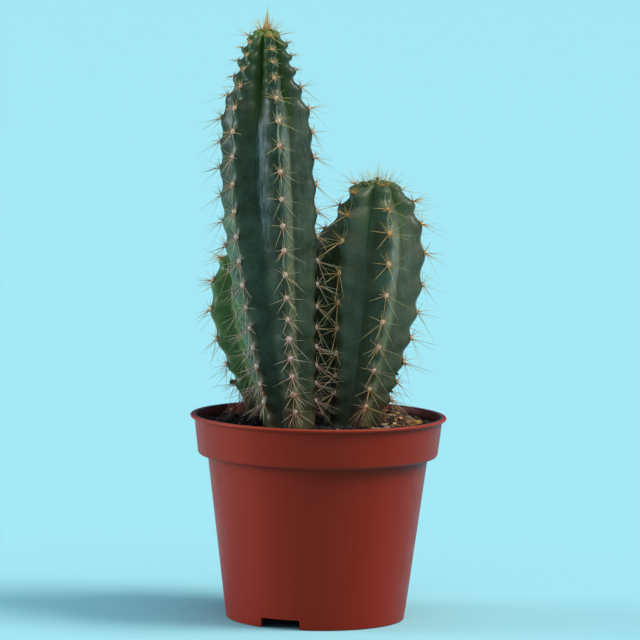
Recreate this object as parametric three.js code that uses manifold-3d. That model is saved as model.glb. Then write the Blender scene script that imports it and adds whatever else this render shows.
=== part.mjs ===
// A clump of three columnar cacti in a moulded plastic nursery pot.
//
// Lengths are in millimetres, +Z is up, and the origin is the centre of the pot's base, on the
// surface that it stands on. Angles round the pot or round a stem are in degrees, seen from above:
// 0 looks towards -Y, the front, and 90 towards +X.
import * as THREE from 'three';
import { mergeVertices } from 'three/addons/utils/BufferGeometryUtils.js';
import Module from 'manifold-3d';

const wasm = await Module();
wasm.setup();

const GAP = 0.3; // between pieces that touch

// The pot: a 12 cm nursery pot, thin-walled, with a wider band below its rolled lip.
const POT = {
  height: 95.5,
  lipRadius: 60,
  lipThickness: 1.5,
  bandTopRadius: 58.1,
  bandFootRadius: 56.2,
  bandFootHeight: 78.5,
  ledgeHeight: 75.8,
  bodyTopRadius: 51.5,
  baseRadius: 41.9,
  wall: 1.2,
  edge: 0.4, // by which its corners are rounded off
  footRing: 1.5, // width of the flat ring that it stands on
  floorUnderside: 5,
  floorThickness: 1.2,
  segments: 48,
};
const DRAIN_NOTCH = { width: 19.4, height: 4.7, corner: 0.9, count: 3, firstAngle: -23 };
const DRAIN_HOLE = { radius: 4, ringRadius: 27, count: 6, sides: 12 };

// The soil: a potting mix, whose top is lumpy and strewn with bark. A bit's reach is how far it
// goes from its middle, and its lift how high its middle lies above the soil.
const SOIL = {
  level: 90,
  top: 92, // its highest lump, above which the stems lean and have ribs
  rings: 7,
  lumps: 60,
  lumpHeight: 1.4,
  lumpRadius: 5.5,
  cornerRadius: 1.2,
  holeDepth: 24, // of the holes that the stems stand in
  holeSides: 24,
};
const POT_INSET = POT.wall + GAP + 0.2; // from the pot's outside to the soil
const BARK_STRIPS = { count: 5, length: [13, 18], width: [3, 4.4], thickness: 1.8, reach: 9, lift: 1 };
const BARK_CHIPS = { count: 14, length: [6, 10], width: [4, 6], thickness: 2, reach: 5, lift: 0.7 };
const CLODS = { count: 8, radius: [1.6, 2.6], reach: 2.6, lift: 0.6 };

// The stems. A stem's axis starts at `base` on the soil and moves sideways by
// lean * t + bend * t * t, where t runs from 0 at the soil to 1 at the tip. `outline` gives the
// radius of the rib crests at a few heights, and `areoles` the height of the areole with that
// number, counted up the rib whose phase is 0. A rib's phase is in quarters of an areole interval.
// A rib's crest is its reach times as far out as the outline, except near the tip.
const STEMS = [
  {
    name: 'stem_tall',
    colour: '#35584f',
    base: [-13.7, -8],
    lean: [-27.1, -3],
    bend: [13.6, 2],
    tip: 275.8,
    outline: [[92, 12.2], [108, 14.4], [131, 17.2], [173, 21.3], [199, 22.3], [223, 21.6],
      [238, 20.1], [246, 16.8], [253, 14.2], [266, 10.4], [272.5, 6.8], [275.8, 1.2]],
    areoles: [[-1, 92], [0, 99], [5, 142.5], [9, 186], [12, 223], [15, 253.5], [18, 272.2]],
    areoleCount: 19,
    firstRib: -104,
    phases: [0, 2, 0, 2, 0, 2],
    reach: [1, 1, 1, 1, 1, 1],
    scallop: 1.4,
    furrow: 0.26,
    tipFurrow: 0.4,
    spine: 7.2,
    seed: 11,
  },
  {
    name: 'stem_right',
    colour: '#3d6450',
    base: [16.3, 6.5],
    lean: [23.1, 3],
    bend: [-13.5, -1],
    tip: 205,
    outline: [[92, 13.4], [108, 16], [131, 19.7], [152, 22], [172, 22.6], [186, 20.2],
      [194, 16.8], [199, 13.9], [203, 9.6], [205, 1.2]],
    areoles: [[-1, 92], [0, 100.6], [2, 117.8], [5, 153.2], [7, 182], [9, 203]],
    areoleCount: 10,
    firstRib: -106,
    phases: [0, 3, 0, 1, 3, 1],
    reach: [1.52, 1, 1, 1, 1, 1.06],
    scallop: 2,
    furrow: 0.27,
    tipFurrow: 0.36,
    spine: 8.6,
    seed: 23,
  },
  {
    name: 'stem_left',
    colour: '#5f8a55',
    base: [-23, 20],
    lean: [-19.6, 13],
    bend: [6.6, -6],
    tip: 173,
    outline: [[92, 10.6], [108, 13.6], [127, 18.6], [141, 20], [153, 18.4], [163, 13.8],
      [169.5, 8.4], [173, 1.2]],
    areoles: [[-1, 92], [0, 105.5], [1, 114.2], [2, 125.6], [4, 153], [5, 164.5], [6, 171.5]],
    areoleCount: 7,
    firstRib: -65,
    phases: [1, 3, 0, 1, 3, 0],
    reach: [1, 1, 1, 1, 1, 1],
    scallop: 2,
    furrow: 0.27,
    tipFurrow: 0.36,
    spine: 8,
    seed: 37,
  },
];
const RIBS = 6;
const COLUMNS = 4; // of vertices to a rib: crest, shoulder, furrow, shoulder
const ROWS = 4; // of vertices to an areole interval
const RIB_START = 12; // height over which the ribs rise out of a stem's round foot
const REACH_FADE = [0.66, 0.88]; // values of t between which a rib's reach turns to 1
const YOUNG = [0.78, 0.9]; // values of t between which the furrows turn as deep as at the tip
const SHOULDER = { halfWidth: 2.5, share: 0.3, drop: 0.55 }; // of a rounded rib crest
const FULL_CREST = { scallop: 12, shoulder: 8 }; // crest radius from which these have full size
const AREOLE = { radius: 0.85, share: 0.3, sides: 6, rise: 0.35, peak: 0.75, spread: [38, 66] };
const TIP_SPREAD = [8, 32]; // tilt of the spines on a stem's tip, and above of those on an areole
const SPINE = { length: [0.8, 1.12], lower: 0.3, sway: 20, tries: 14, shorter: 0.045 };
const SPINE_ROOM = { spine: 0.9, stem: 1.3, soil: 5, rim: 2, wall: 4, side: 1 }; // kept free

const radians = THREE.MathUtils.degToRad;
const { lerp, smoothstep } = THREE.MathUtils;

function seededRandom(seed) {
  let state = seed;
  return (low = 0, high = 1) => {
    state = (state * 16807) % 2147483647;
    return low + (high - low) * (state / 2147483647);
  };
}

function heading(angle) {
  return new THREE.Vector3(Math.sin(radians(angle)), -Math.cos(radians(angle)), 0);
}

// A smooth line through a few [position, value] points, level or rising as they are.
function along(points, at) {
  let i = 0;
  while (i < points.length - 2 && at > points[i + 1][0]) i += 1;
  const slope = (a, b) => (points[b][1] - points[a][1]) / (points[b][0] - points[a][0]);
  const before = slope(Math.max(i - 1, 0), i === 0 ? 1 : i + 1);
  const after = slope(i, Math.min(i + 2, points.length - 1));
  const step = points[i + 1][0] - points[i][0];
  const t = (at - points[i][0]) / step;
  const rise = points[i + 1][1] - points[i][1];
  const curve = (before * step - rise) * (1 - t) - (after * step - rise) * t;
  return points[i][1] + rise * t + t * (1 - t) * curve;
}

function meshOf(name, geometry, colour, roughness) {
  const mesh = new THREE.Mesh(
    geometry,
    new THREE.MeshStandardMaterial({ color: colour, roughness, metalness: 0 }),
  );
  mesh.name = name;
  return mesh;
}

function geometryOf(points, triangles) {
  const geometry = new THREE.BufferGeometry();
  geometry.setAttribute('position', new THREE.Float32BufferAttribute(points.flatMap((p) => [...p]), 3));
  geometry.setIndex(triangles.flat());
  return geometry;
}

function solidOf(geometry) {
  const bare = geometry.clone();
  bare.deleteAttribute('normal');
  bare.deleteAttribute('uv');
  const merged = mergeVertices(bare, 1e-4);
  return new wasm.Manifold(new wasm.Mesh({
    numProp: 3,
    vertProperties: Float32Array.from(merged.attributes.position.array),
    triVerts: Uint32Array.from(merged.index.array),
  }));
}

function geometryOfSolid(solid) {
  const { vertProperties, triVerts } = solid.getMesh();
  const geometry = new THREE.BufferGeometry();
  geometry.setAttribute('position', new THREE.BufferAttribute(Float32Array.from(vertProperties), 3));
  geometry.setIndex(new THREE.BufferAttribute(Uint32Array.from(triVerts), 1));
  return geometry;
}

// Turns a profile of [radius, height] points about the Z axis.
function turned(profile, segments) {
  const points = profile.map(([radius, height]) => new THREE.Vector2(radius, height));
  return new THREE.LatheGeometry(points, segments).rotateX(Math.PI / 2);
}

function uprightCylinder(radius, bottom, top, x, y, sides) {
  const cylinder = new THREE.CylinderGeometry(radius, radius, top - bottom, sides);
  return cylinder.rotateX(Math.PI / 2).translate(x, y, (top + bottom) / 2);
}

// The pot -----------------------------------------------------------------------------------------

function potOuterRadius(height) {
  return lerp(POT.baseRadius, POT.bodyTopRadius, height / POT.ledgeHeight);
}

function potProfile() {
  const { height, wall, edge, lipThickness, footRing, ledgeHeight, bandFootHeight } = POT;
  const floorTop = POT.floorUnderside + POT.floorThickness;
  const footInside = POT.baseRadius - edge - footRing;
  return [
    [0, POT.floorUnderside],
    [footInside - edge, POT.floorUnderside],
    [footInside, 0],
    [POT.baseRadius - edge, 0],
    [potOuterRadius(edge), edge],
    [POT.bodyTopRadius, ledgeHeight],
    [POT.bandFootRadius - 4 * edge, ledgeHeight + wall],
    [POT.bandFootRadius - edge, ledgeHeight + wall + edge],
    [POT.bandFootRadius, bandFootHeight],
    [POT.bandTopRadius, height - lipThickness],
    [POT.lipRadius - edge, height - lipThickness],
    [POT.lipRadius, height - lipThickness / 2],
    [POT.lipRadius - edge, height],
    [POT.bandTopRadius - wall + edge, height],
    [POT.bandTopRadius - wall, height - edge],
    [POT.bandFootRadius - wall, bandFootHeight + edge],
    [POT.bodyTopRadius - wall, ledgeHeight + wall],
    [potOuterRadius(floorTop + wall) - wall, floorTop + wall],
    [potOuterRadius(floorTop) - 2 * wall, floorTop],
    [0, floorTop],
  ];
}

// A drainage notch in the foot, with rounded upper corners.
function drainNotch(angle) {
  const { width, height, corner } = DRAIN_NOTCH;
  const half = width / 2;
  const shape = new THREE.Shape();
  shape.moveTo(-half, -1);
  shape.lineTo(half, -1);
  shape.lineTo(half, height - corner);
  shape.absarc(half - corner, height - corner, corner, 0, Math.PI / 2);
  shape.absarc(corner - half, height - corner, corner, Math.PI / 2, Math.PI);
  shape.lineTo(-half, -1);
  const notch = new THREE.ExtrudeGeometry(shape, { depth: 12, bevelEnabled: false, curveSegments: 2 });
  return notch.translate(0, 0, POT.baseRadius - 8).rotateX(Math.PI / 2).rotateZ(radians(angle));
}

function makePot() {
  const { radius, ringRadius, count, sides } = DRAIN_HOLE;
  let pot = solidOf(turned(potProfile(), POT.segments));
  for (let i = 0; i < DRAIN_NOTCH.count; i += 1) {
    const angle = DRAIN_NOTCH.firstAngle + (360 / DRAIN_NOTCH.count) * i;
    pot = pot.subtract(solidOf(drainNotch(angle)));
  }
  for (let i = 0; i < count; i += 1) {
    const at = heading((360 / count) * i).multiplyScalar(ringRadius);
    pot = pot.subtract(solidOf(uprightCylinder(radius, 0, 2 * POT.floorUnderside, at.x, at.y, sides)));
  }
  return meshOf('pot', geometryOfSolid(pot), '#8f4034', 0.5);
}

// The soil ----------------------------------------------------------------------------------------

function soilSurface(random) {
  const lumps = [];
  for (let i = 0; i < SOIL.lumps; i += 1) {
    const at = heading(random(0, 360)).multiplyScalar(POT.bodyTopRadius * Math.sqrt(random()));
    const radius = SOIL.lumpRadius * random(0.6, 1.3);
    lumps.push({ at, radius, height: SOIL.lumpHeight * random(-0.6, 1) });
  }
  return (x, y) => Math.min(SOIL.top - GAP, lumps.reduce((height, lump) => {
    const away = Math.hypot(x - lump.at.x, y - lump.at.y) / lump.radius;
    return height + lump.height * Math.exp(-away * away);
  }, SOIL.level));
}

function soilProfile() {
  const floor = POT.floorUnderside + POT.floorThickness + GAP;
  const corner = SOIL.cornerRadius;
  const profile = [
    [0, floor],
    [potOuterRadius(floor) - POT_INSET - corner, floor],
    [potOuterRadius(floor + corner) - POT_INSET, floor + corner],
    [POT.bodyTopRadius - POT_INSET, POT.ledgeHeight + POT.wall],
    [POT.bandFootRadius - POT_INSET, POT.bandFootHeight + 2 * POT.edge + GAP],
  ];
  const edge = lerp(POT.bandFootRadius, POT.bandTopRadius, 0.5) - POT_INSET;
  for (let ring = SOIL.rings; ring >= 0; ring -= 1) {
    profile.push([(edge * ring) / SOIL.rings, SOIL.level]);
  }
  return profile;
}

// A flake of bark: a slab with an uneven outline, laid on the soil and sunk into it.
function barkFlake(random, length, width, thickness) {
  const flake = new THREE.CylinderGeometry(0.42, 0.5, 1, 5).scale(length, thickness, width);
  const spots = flake.attributes.position;
  for (let i = 0; i < spots.count; i += 1) {
    const skew = 0.12 * Math.sin(7 * Math.sign(spots.getX(i)) + 3 * Math.sign(spots.getZ(i)));
    spots.setX(i, spots.getX(i) * (1 + skew));
  }
  flake.rotateX(Math.PI / 2);
  return flake.rotateX(random(-0.35, 0.35)).rotateY(random(-0.3, 0.3)).rotateZ(random(0, Math.PI * 2));
}

function soilBits(random) {
  const bits = [];
  for (const { count, length, width, thickness, reach, lift } of [BARK_STRIPS, BARK_CHIPS]) {
    for (let i = 0; i < count; i += 1) {
      const geometry = barkFlake(random, random(...length), random(...width), thickness);
      bits.push({ geometry, reach, lift });
    }
  }
  for (let i = 0; i < CLODS.count; i += 1) {
    bits.push({ ...CLODS, geometry: new THREE.DodecahedronGeometry(random(...CLODS.radius)) });
  }
  return bits;
}

// Bits lie clear of the pot's wall and of the stems.
function placeForBit(random, reach) {
  const room = POT.bandFootRadius - 2 * POT_INSET - reach;
  for (;;) {
    const at = heading(random(0, 360)).multiplyScalar(room * Math.sqrt(random()));
    const clear = STEMS.every(({ base, outline }) => (
      Math.hypot(at.x - base[0], at.y - base[1]) > outline[0][1] + reach + 1
    ));
    if (clear) return at;
  }
}

function makeSoil() {
  const random = seededRandom(5);
  const surface = soilSurface(random);
  const body = turned(soilProfile(), POT.segments);
  const spots = body.attributes.position;
  for (let i = 0; i < spots.count; i += 1) {
    if (spots.getZ(i) > SOIL.level - 1e-3) spots.setZ(i, surface(spots.getX(i), spots.getY(i)));
  }
  let soil = solidOf(body);
  for (const { geometry, reach, lift } of soilBits(random)) {
    const at = placeForBit(random, reach);
    soil = soil.add(solidOf(geometry.translate(at.x, at.y, surface(at.x, at.y) + lift)));
  }
  for (const { base, outline } of STEMS) {
    const radius = (outline[0][1] + GAP) / Math.cos(Math.PI / SOIL.holeSides);
    const hole = uprightCylinder(radius, SOIL.level - SOIL.holeDepth, POT.height, ...base, SOIL.holeSides);
    soil = soil.subtract(solidOf(hole));
  }
  return meshOf('soil', geometryOfSolid(soil), '#3b2c25', 1);
}

// The stems ---------------------------------------------------------------------------------------

function stemAxis(stem, height) {
  const t = Math.max(0, (height - SOIL.top) / (stem.tip - SOIL.top));
  const [x, y] = [0, 1].map((i) => stem.base[i] + stem.lean[i] * t + stem.bend[i] * t * t);
  return new THREE.Vector3(x, y, height);
}

// Ribs rise out of a plain round foot just above the soil.
function ribStart(height) {
  return smoothstep(height, SOIL.top, SOIL.top + RIB_START);
}

function ribReach(stem, rib, height) {
  const t = (height - SOIL.top) / (stem.tip - SOIL.top);
  return lerp(stem.reach[rib], 1, smoothstep(t, ...REACH_FADE));
}

function crestRadius(stem, rib, height) {
  const radius = along(stem.outline, Math.max(height, stem.outline[0][0]));
  return radius * lerp(1, ribReach(stem, rib, height), ribStart(height));
}

// How far in the furrow lies, as a share of the crest's radius.
function furrowDepth(stem, height) {
  const t = (height - SOIL.top) / (stem.tip - SOIL.top);
  const full = lerp(stem.furrow, stem.tipFurrow, smoothstep(t, ...YOUNG));
  return full * ribStart(height);
}

// The vertex of a stem's surface at a row, given in areole intervals, and a column.
function stemPoint(stem, level, column) {
  const height = along(stem.areoles, level);
  const rib = Math.floor(column / COLUMNS) % RIBS;
  const place = column % COLUMNS;
  const nextRib = place < 2 ? rib : (rib + 1) % RIBS;
  const side = place === 3 ? -1 : 1;
  const crest = crestRadius(stem, place === 3 ? nextRib : rib, height);
  const halfWidth = Math.min(SHOULDER.halfWidth, SHOULDER.share * crest);
  const shoulder = THREE.MathUtils.radToDeg(Math.asin(halfWidth / crest));
  const ribAngle = stem.firstRib + (360 / RIBS) * (place === 3 ? rib + 1 : rib);
  if (place === 2) {
    const radius = (crest + crestRadius(stem, nextRib, height)) / 2;
    const floor = radius * (1 - furrowDepth(stem, height));
    return heading(ribAngle + 180 / RIBS).multiplyScalar(floor).add(stemAxis(stem, height));
  }
  const own = place === 3 ? nextRib : rib;
  const wave = Math.cos(2 * Math.PI * (level - stem.phases[own] / ROWS));
  const fade = ribStart(height);
  const bulge = 0.5 * stem.scallop * wave * fade * Math.min(1, crest / FULL_CREST.scallop);
  const drop = place === 0 ? 0 : SHOULDER.drop * fade * Math.min(1, crest / FULL_CREST.shoulder);
  const radius = crest + bulge - drop;
  const angle = place === 0 ? ribAngle : ribAngle + side * lerp(360 / RIBS / COLUMNS, shoulder, fade);
  return heading(angle).multiplyScalar(radius).add(stemAxis(stem, height));
}

// Every spine so far, and a test for whether a new one has room: clear of the others, of every
// stem, of the soil and the pot, and inside the pot's own square.
const spines = [];

function distanceBetween(a, b) {
  const alongA = a.tip.clone().sub(a.root);
  const alongB = b.tip.clone().sub(b.root);
  let nearest = Infinity;
  for (let i = 1; i <= 8; i += 1) {
    const spot = a.root.clone().addScaledVector(alongA, i / 8);
    const t = THREE.MathUtils.clamp(spot.clone().sub(b.root).dot(alongB) / alongB.lengthSq(), 0, 1);
    nearest = Math.min(nearest, spot.distanceTo(b.root.clone().addScaledVector(alongB, t)));
  }
  return nearest;
}

function insideStem(stem, spot, margin) {
  if (spot.z > stem.tip + margin) return false;
  const offset = spot.clone().sub(stemAxis(stem, spot.z));
  const angle = THREE.MathUtils.radToDeg(Math.atan2(offset.x, -offset.y));
  const turn = THREE.MathUtils.euclideanModulo(angle - stem.firstRib, 360) / (360 / RIBS);
  const rib = Math.round(turn) % RIBS;
  const fromCrest = 2 * Math.abs(turn - Math.round(turn));
  const crest = crestRadius(stem, rib, Math.min(spot.z, stem.tip)) + 0.5 * stem.scallop;
  const radius = crest * (1 - furrowDepth(stem, spot.z) * fromCrest);
  return Math.hypot(offset.x, offset.y) < radius + margin;
}

function hasRoom(spine) {
  const { root, tip, stem } = spine;
  const away = Math.hypot(tip.x, tip.y);
  if (Math.max(Math.abs(tip.x), Math.abs(tip.y)) > POT.lipRadius - SPINE_ROOM.side) return false;
  if (tip.z < SOIL.level + SPINE_ROOM.soil) return false;
  if (tip.z < POT.height + SPINE_ROOM.rim && away > POT.bandFootRadius - SPINE_ROOM.wall) return false;
  for (const other of STEMS) {
    const margin = other === stem ? 0 : SPINE_ROOM.stem;
    for (const share of other === stem ? [0.7, 1] : [0.1, 0.4, 0.7, 1]) {
      if (insideStem(other, root.clone().lerp(tip, share), margin)) return false;
    }
  }
  return spines.every((other) => (
    other.areole === spine.areole || distanceBetween(spine, other) > SPINE_ROOM.spine
  ));
}

// A spine of an areole leans from its outward direction towards one side of it. Each try at
// placing one is a little shorter, until it has room.
function growSpine(stem, random, areole, root, sector) {
  const { out, up, across } = areole;
  for (let attempt = 0; attempt < SPINE.tries; attempt += 1) {
    const side = radians(sector + random(-SPINE.sway, SPINE.sway));
    const tilt = radians(random(...areole.spread));
    const lower = 1 + SPINE.lower * Math.max(0, -Math.sin(side));
    const length = stem.spine * random(...SPINE.length) * lower * (1 - SPINE.shorter * attempt);
    const direction = out.clone().multiplyScalar(Math.cos(tilt));
    direction.addScaledVector(across, Math.sin(tilt) * Math.cos(side));
    direction.addScaledVector(up, Math.sin(tilt) * Math.sin(side));
    const spine = { stem, areole, root, tip: root.clone().addScaledVector(direction, length) };
    if (hasRoom(spine)) {
      spines.push(spine);
      return spine.tip;
    }
  }
  return null;
}

// An areole: a small raised pad of six facets, most of which are drawn out into a spine.
function addAreole(stem, random, points, triangles, rim, joins, areole) {
  const { centre, out, up, across, radius } = areole;
  const first = points.length;
  for (let i = 0; i < AREOLE.sides; i += 1) {
    const angle = radians((360 / AREOLE.sides) * i - 90);
    points.push(centre.clone()
      .addScaledVector(across, radius * Math.cos(angle))
      .addScaledVector(up, radius * Math.sin(angle))
      .addScaledVector(out, radius * AREOLE.rise));
  }
  const peak = points.length;
  points.push(centre.clone().addScaledVector(out, radius * AREOLE.peak));
  rim.forEach((corner, i) => {
    const next = (i + 1) % rim.length;
    triangles.push([corner, rim[next], first + joins[next]]);
    if (joins[i] !== joins[next]) triangles.push([corner, first + joins[next], first + joins[i]]);
  });
  for (let i = 0; i < AREOLE.sides; i += 1) {
    const [a, b] = [first + i, first + ((i + 1) % AREOLE.sides)];
    const sector = (360 / AREOLE.sides) * (i + 0.5) - 90;
    const root = points[a].clone().add(points[b]).add(points[peak]).divideScalar(3);
    const tip = growSpine(stem, random, areole, root, sector);
    if (tip) {
      const apex = points.push(tip) - 1;
      triangles.push([a, b, apex], [b, peak, apex], [peak, a, apex]);
    } else {
      triangles.push([a, b, peak]);
    }
  }
}

function makeStem(stem) {
  const random = seededRandom(stem.seed);
  const around = RIBS * COLUMNS;
  const lowest = -ROWS;
  const highest = (stem.areoleCount - 1) * ROWS + 1;
  const points = [];
  const triangles = [];
  const vertex = (row, column) => (row - lowest + 1) * around + ((column + around) % around);

  const peg = SOIL.level - SOIL.holeDepth + GAP;
  const soilRing = Array.from({ length: around }, (_, column) => stemPoint(stem, -1, column));
  points.push(...soilRing.map((p) => new THREE.Vector3(p.x, p.y, peg)));
  for (let row = lowest; row <= highest; row += 1) {
    for (let column = 0; column < around; column += 1) {
      points.push(stemPoint(stem, row / ROWS, column));
    }
  }

  const isAreole = (row, rib) => {
    const count = (row - stem.phases[rib]) / ROWS;
    return Number.isInteger(count) && count >= 0 && row < highest;
  };
  const underAreole = (row, column) => [0, 1].some((up) => [0, 1].some((side) => {
    const corner = (column + side) % around;
    return corner % COLUMNS === 0 && isAreole(row + up, corner / COLUMNS);
  }));
  for (let row = lowest - 1; row < highest; row += 1) {
    for (let column = 0; column < around; column += 1) {
      if (underAreole(row, column)) continue;
      const [a, b] = [vertex(row, column), vertex(row, column + 1)];
      const [c, d] = [vertex(row + 1, column + 1), vertex(row + 1, column)];
      if (column % 2 === 0) triangles.push([a, b, c], [a, c, d]);
      else triangles.push([a, b, d], [b, c, d]);
    }
  }

  const foot = points.push(stemAxis(stem, SOIL.level).setZ(peg)) - 1;
  for (let column = 0; column < around; column += 1) {
    triangles.push([vertex(lowest - 1, column + 1), vertex(lowest - 1, column), foot]);
  }

  for (let row = 0; row < highest; row += 1) {
    for (let rib = 0; rib < RIBS; rib += 1) {
      if (!isAreole(row, rib)) continue;
      const column = rib * COLUMNS;
      const ring = [[-1, -1], [-1, 0], [-1, 1], [0, 1], [1, 1], [1, 0], [1, -1], [0, -1]];
      const rim = ring.map(([up, side]) => vertex(row + up, column + side));
      const up = points[rim[5]].clone().sub(points[rim[1]]).normalize();
      const across = points[rim[3]].clone().sub(points[rim[7]]).normalize();
      const wide = points[rim[3]].distanceTo(points[rim[7]]);
      const high = points[rim[5]].distanceTo(points[rim[1]]);
      addAreole(stem, random, points, triangles, rim, [5, 0, 1, 1, 2, 3, 4, 4], {
        centre: points[vertex(row, column)].clone(),
        out: across.clone().cross(up).normalize(),
        up,
        across,
        radius: Math.min(AREOLE.radius, AREOLE.share * wide, AREOLE.share * high),
        spread: AREOLE.spread,
      });
    }
  }

  const rim = Array.from({ length: around }, (_, column) => vertex(highest, column));
  const joins = rim.map((_, column) => Math.round(column / COLUMNS) % AREOLE.sides);
  addAreole(stem, random, points, triangles, rim, joins, {
    centre: stemAxis(stem, stem.tip - 0.5),
    out: new THREE.Vector3(0, 0, 1),
    up: heading(stem.firstRib + 90),
    across: heading(stem.firstRib + 90).cross(new THREE.Vector3(0, 0, 1)),
    radius: AREOLE.radius,
    spread: TIP_SPREAD,
  });
  return meshOf(stem.name, geometryOf(points, triangles), stem.colour, 0.7);
}

const plant = new THREE.Group();
plant.add(makePot(), makeSoil(), ...STEMS.map(makeStem));
export default plant;
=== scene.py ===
# A clump of three columnar cacti in a nursery pot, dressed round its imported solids.
# Lengths are in metres; +Z is up, -Y faces the camera, and the origin is under the pot's centre.
import math
import random

import bpy
import numpy as np
from mathutils import Matrix, Vector, noise


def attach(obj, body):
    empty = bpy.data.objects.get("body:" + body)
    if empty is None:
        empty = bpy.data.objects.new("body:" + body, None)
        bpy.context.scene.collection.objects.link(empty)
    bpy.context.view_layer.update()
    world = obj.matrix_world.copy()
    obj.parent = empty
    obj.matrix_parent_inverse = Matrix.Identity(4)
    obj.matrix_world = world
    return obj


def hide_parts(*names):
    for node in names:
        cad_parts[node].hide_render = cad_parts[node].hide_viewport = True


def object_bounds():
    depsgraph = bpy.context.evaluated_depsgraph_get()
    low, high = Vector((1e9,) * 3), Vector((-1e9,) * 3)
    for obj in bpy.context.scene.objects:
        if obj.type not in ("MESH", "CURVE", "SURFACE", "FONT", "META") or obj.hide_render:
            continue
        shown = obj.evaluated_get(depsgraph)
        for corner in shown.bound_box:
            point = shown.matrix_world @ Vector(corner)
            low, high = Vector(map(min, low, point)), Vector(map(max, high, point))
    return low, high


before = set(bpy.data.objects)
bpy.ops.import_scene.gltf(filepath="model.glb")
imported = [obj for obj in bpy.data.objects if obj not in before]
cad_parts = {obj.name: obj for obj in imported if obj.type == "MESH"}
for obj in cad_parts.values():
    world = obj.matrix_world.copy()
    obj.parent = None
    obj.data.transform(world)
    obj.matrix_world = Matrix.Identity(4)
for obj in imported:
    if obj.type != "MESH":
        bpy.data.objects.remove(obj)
cad_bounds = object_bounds()


# ---------------------------------------------------------------------------------------------
# The pot. A 12 cm nursery pot, moulded in one shot of brick-red polypropylene with thin walls.
# A plain band runs below its rolled lip, and three notches and six holes drain the base.
# ---------------------------------------------------------------------------------------------
MM = 0.001
MERGE = 0.01 * MM
POT_SIDES = 160
POT_HEIGHT = 95.5 * MM
LIP_RADIUS = 60 * MM
LIP_BEAD = 0.75 * MM
BAND_TOP_RADIUS = 58.1 * MM
BAND_FOOT_RADIUS = 56.2 * MM
BAND_FOOT = 78.3 * MM
LEDGE = 75.8 * MM
LEDGE_FILLET = 0.7 * MM
LEDGE_ROUND = 1.5 * MM
FOOT_ROUND = 0.8 * MM
BODY_TOP_RADIUS = 51.5 * MM
BASE_RADIUS = 41.9 * MM
WALL = 1.2 * MM
FLOOR_UNDERSIDE = 5 * MM
FLOOR_TOP = 6.2 * MM
FLOOR_FILLET = 1.5 * MM
NOTCH_WIDTH = 19.4 * MM
NOTCH_HEIGHT = 4.7 * MM
NOTCH_ANGLES = (-23, 97, 217)
DRAIN_HOLES = 6
DRAIN_HOLE_RADIUS = 4 * MM
DRAIN_RING = 27 * MM


def body_radius(height):
    """The tapered body's outer radius at a height."""
    return BASE_RADIUS + (BODY_TOP_RADIUS - BASE_RADIUS) * height / LEDGE


def arc(centre, radius, start, end, steps):
    """Points (radius from the axis, height) along an arc, its angles in degrees from outwards."""
    points = []
    for i in range(steps + 1):
        turn = math.radians(start + (end - start) * i / steps)
        points.append((centre[0] + radius * math.cos(turn), centre[1] + radius * math.sin(turn)))
    return points


def straight(start, end, steps):
    """Points between two ends, leaving both ends out."""
    shares = [i / steps for i in range(1, steps)]
    return [tuple(a + (b - a) * share for a, b in zip(start, end)) for share in shares]


def pot_profile():
    """The wall's outline: from the foot up the outside, over the lip and down the inside."""
    outer = arc((BASE_RADIUS - 0.75 * MM, FOOT_ROUND), FOOT_ROUND, -90, 0, 5)
    outer += straight(outer[-1], (BODY_TOP_RADIUS, LEDGE), 8)
    outer += arc((BODY_TOP_RADIUS + LEDGE_FILLET, LEDGE), LEDGE_FILLET, 180, 100, 4)
    outer += arc((BAND_FOOT_RADIUS - LEDGE_ROUND, BAND_FOOT), LEDGE_ROUND, -75, -5, 6)
    under_lip = (BAND_TOP_RADIUS, POT_HEIGHT - 2 * LIP_BEAD)
    outer += straight(outer[-1], under_lip, 4)
    lip_edge = 0.5 * MM
    lip = [under_lip]
    lip += arc((LIP_RADIUS - LIP_BEAD, POT_HEIGHT - LIP_BEAD), LIP_BEAD, -100, 90, 9)
    edge = (BAND_TOP_RADIUS - WALL + lip_edge, POT_HEIGHT - lip_edge)
    lip += arc(edge, lip_edge, 90, 180, 4)
    step = (BAND_FOOT_RADIUS - WALL, BAND_FOOT + 0.6 * MM)
    inner = straight(lip[-1], step, 4)
    inner += arc((step[0] - 1.2 * MM, BAND_FOOT + 1.4 * MM), 1.2 * MM, 0, -80, 4)
    inner += [(BODY_TOP_RADIUS - WALL + 0.4 * MM, LEDGE + 1.4 * MM)]
    inner += [(BODY_TOP_RADIUS - WALL, LEDGE + 0.6 * MM)]
    corner = (body_radius(FLOOR_TOP) - WALL, FLOOR_TOP + FLOOR_FILLET)
    inner += straight(inner[-1], corner, 5)
    inner += arc((corner[0] - FLOOR_FILLET, corner[1]), FLOOR_FILLET, 0, -90, 4)
    return outer + lip + inner


def start_shape(add_primitive, **settings):
    """Adds a primitive to be shaped by hand, with nothing else selected."""
    bpy.ops.object.select_all(action="DESELECT")
    add_primitive(**settings)
    return bpy.context.object


def edit_all():
    """Goes into edit mode with the whole shape selected."""
    bpy.ops.object.mode_set(mode="EDIT")
    bpy.ops.mesh.select_all(action="SELECT")


def edit_where(piece, kind, wanted):
    """Goes into edit mode with only those vertices or edges selected that are wanted."""
    bpy.ops.object.mode_set(mode="EDIT")
    bpy.ops.mesh.select_all(action="DESELECT")
    bpy.ops.object.mode_set(mode="OBJECT")
    for element in getattr(piece.data, kind):
        element.select = wanted(element)
    bpy.ops.object.mode_set(mode="EDIT")


def extrude(step):
    """Extrudes the selected edges by a step."""
    bpy.ops.mesh.extrude_edges_move(TRANSFORM_OT_translate={"value": step})


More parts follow.
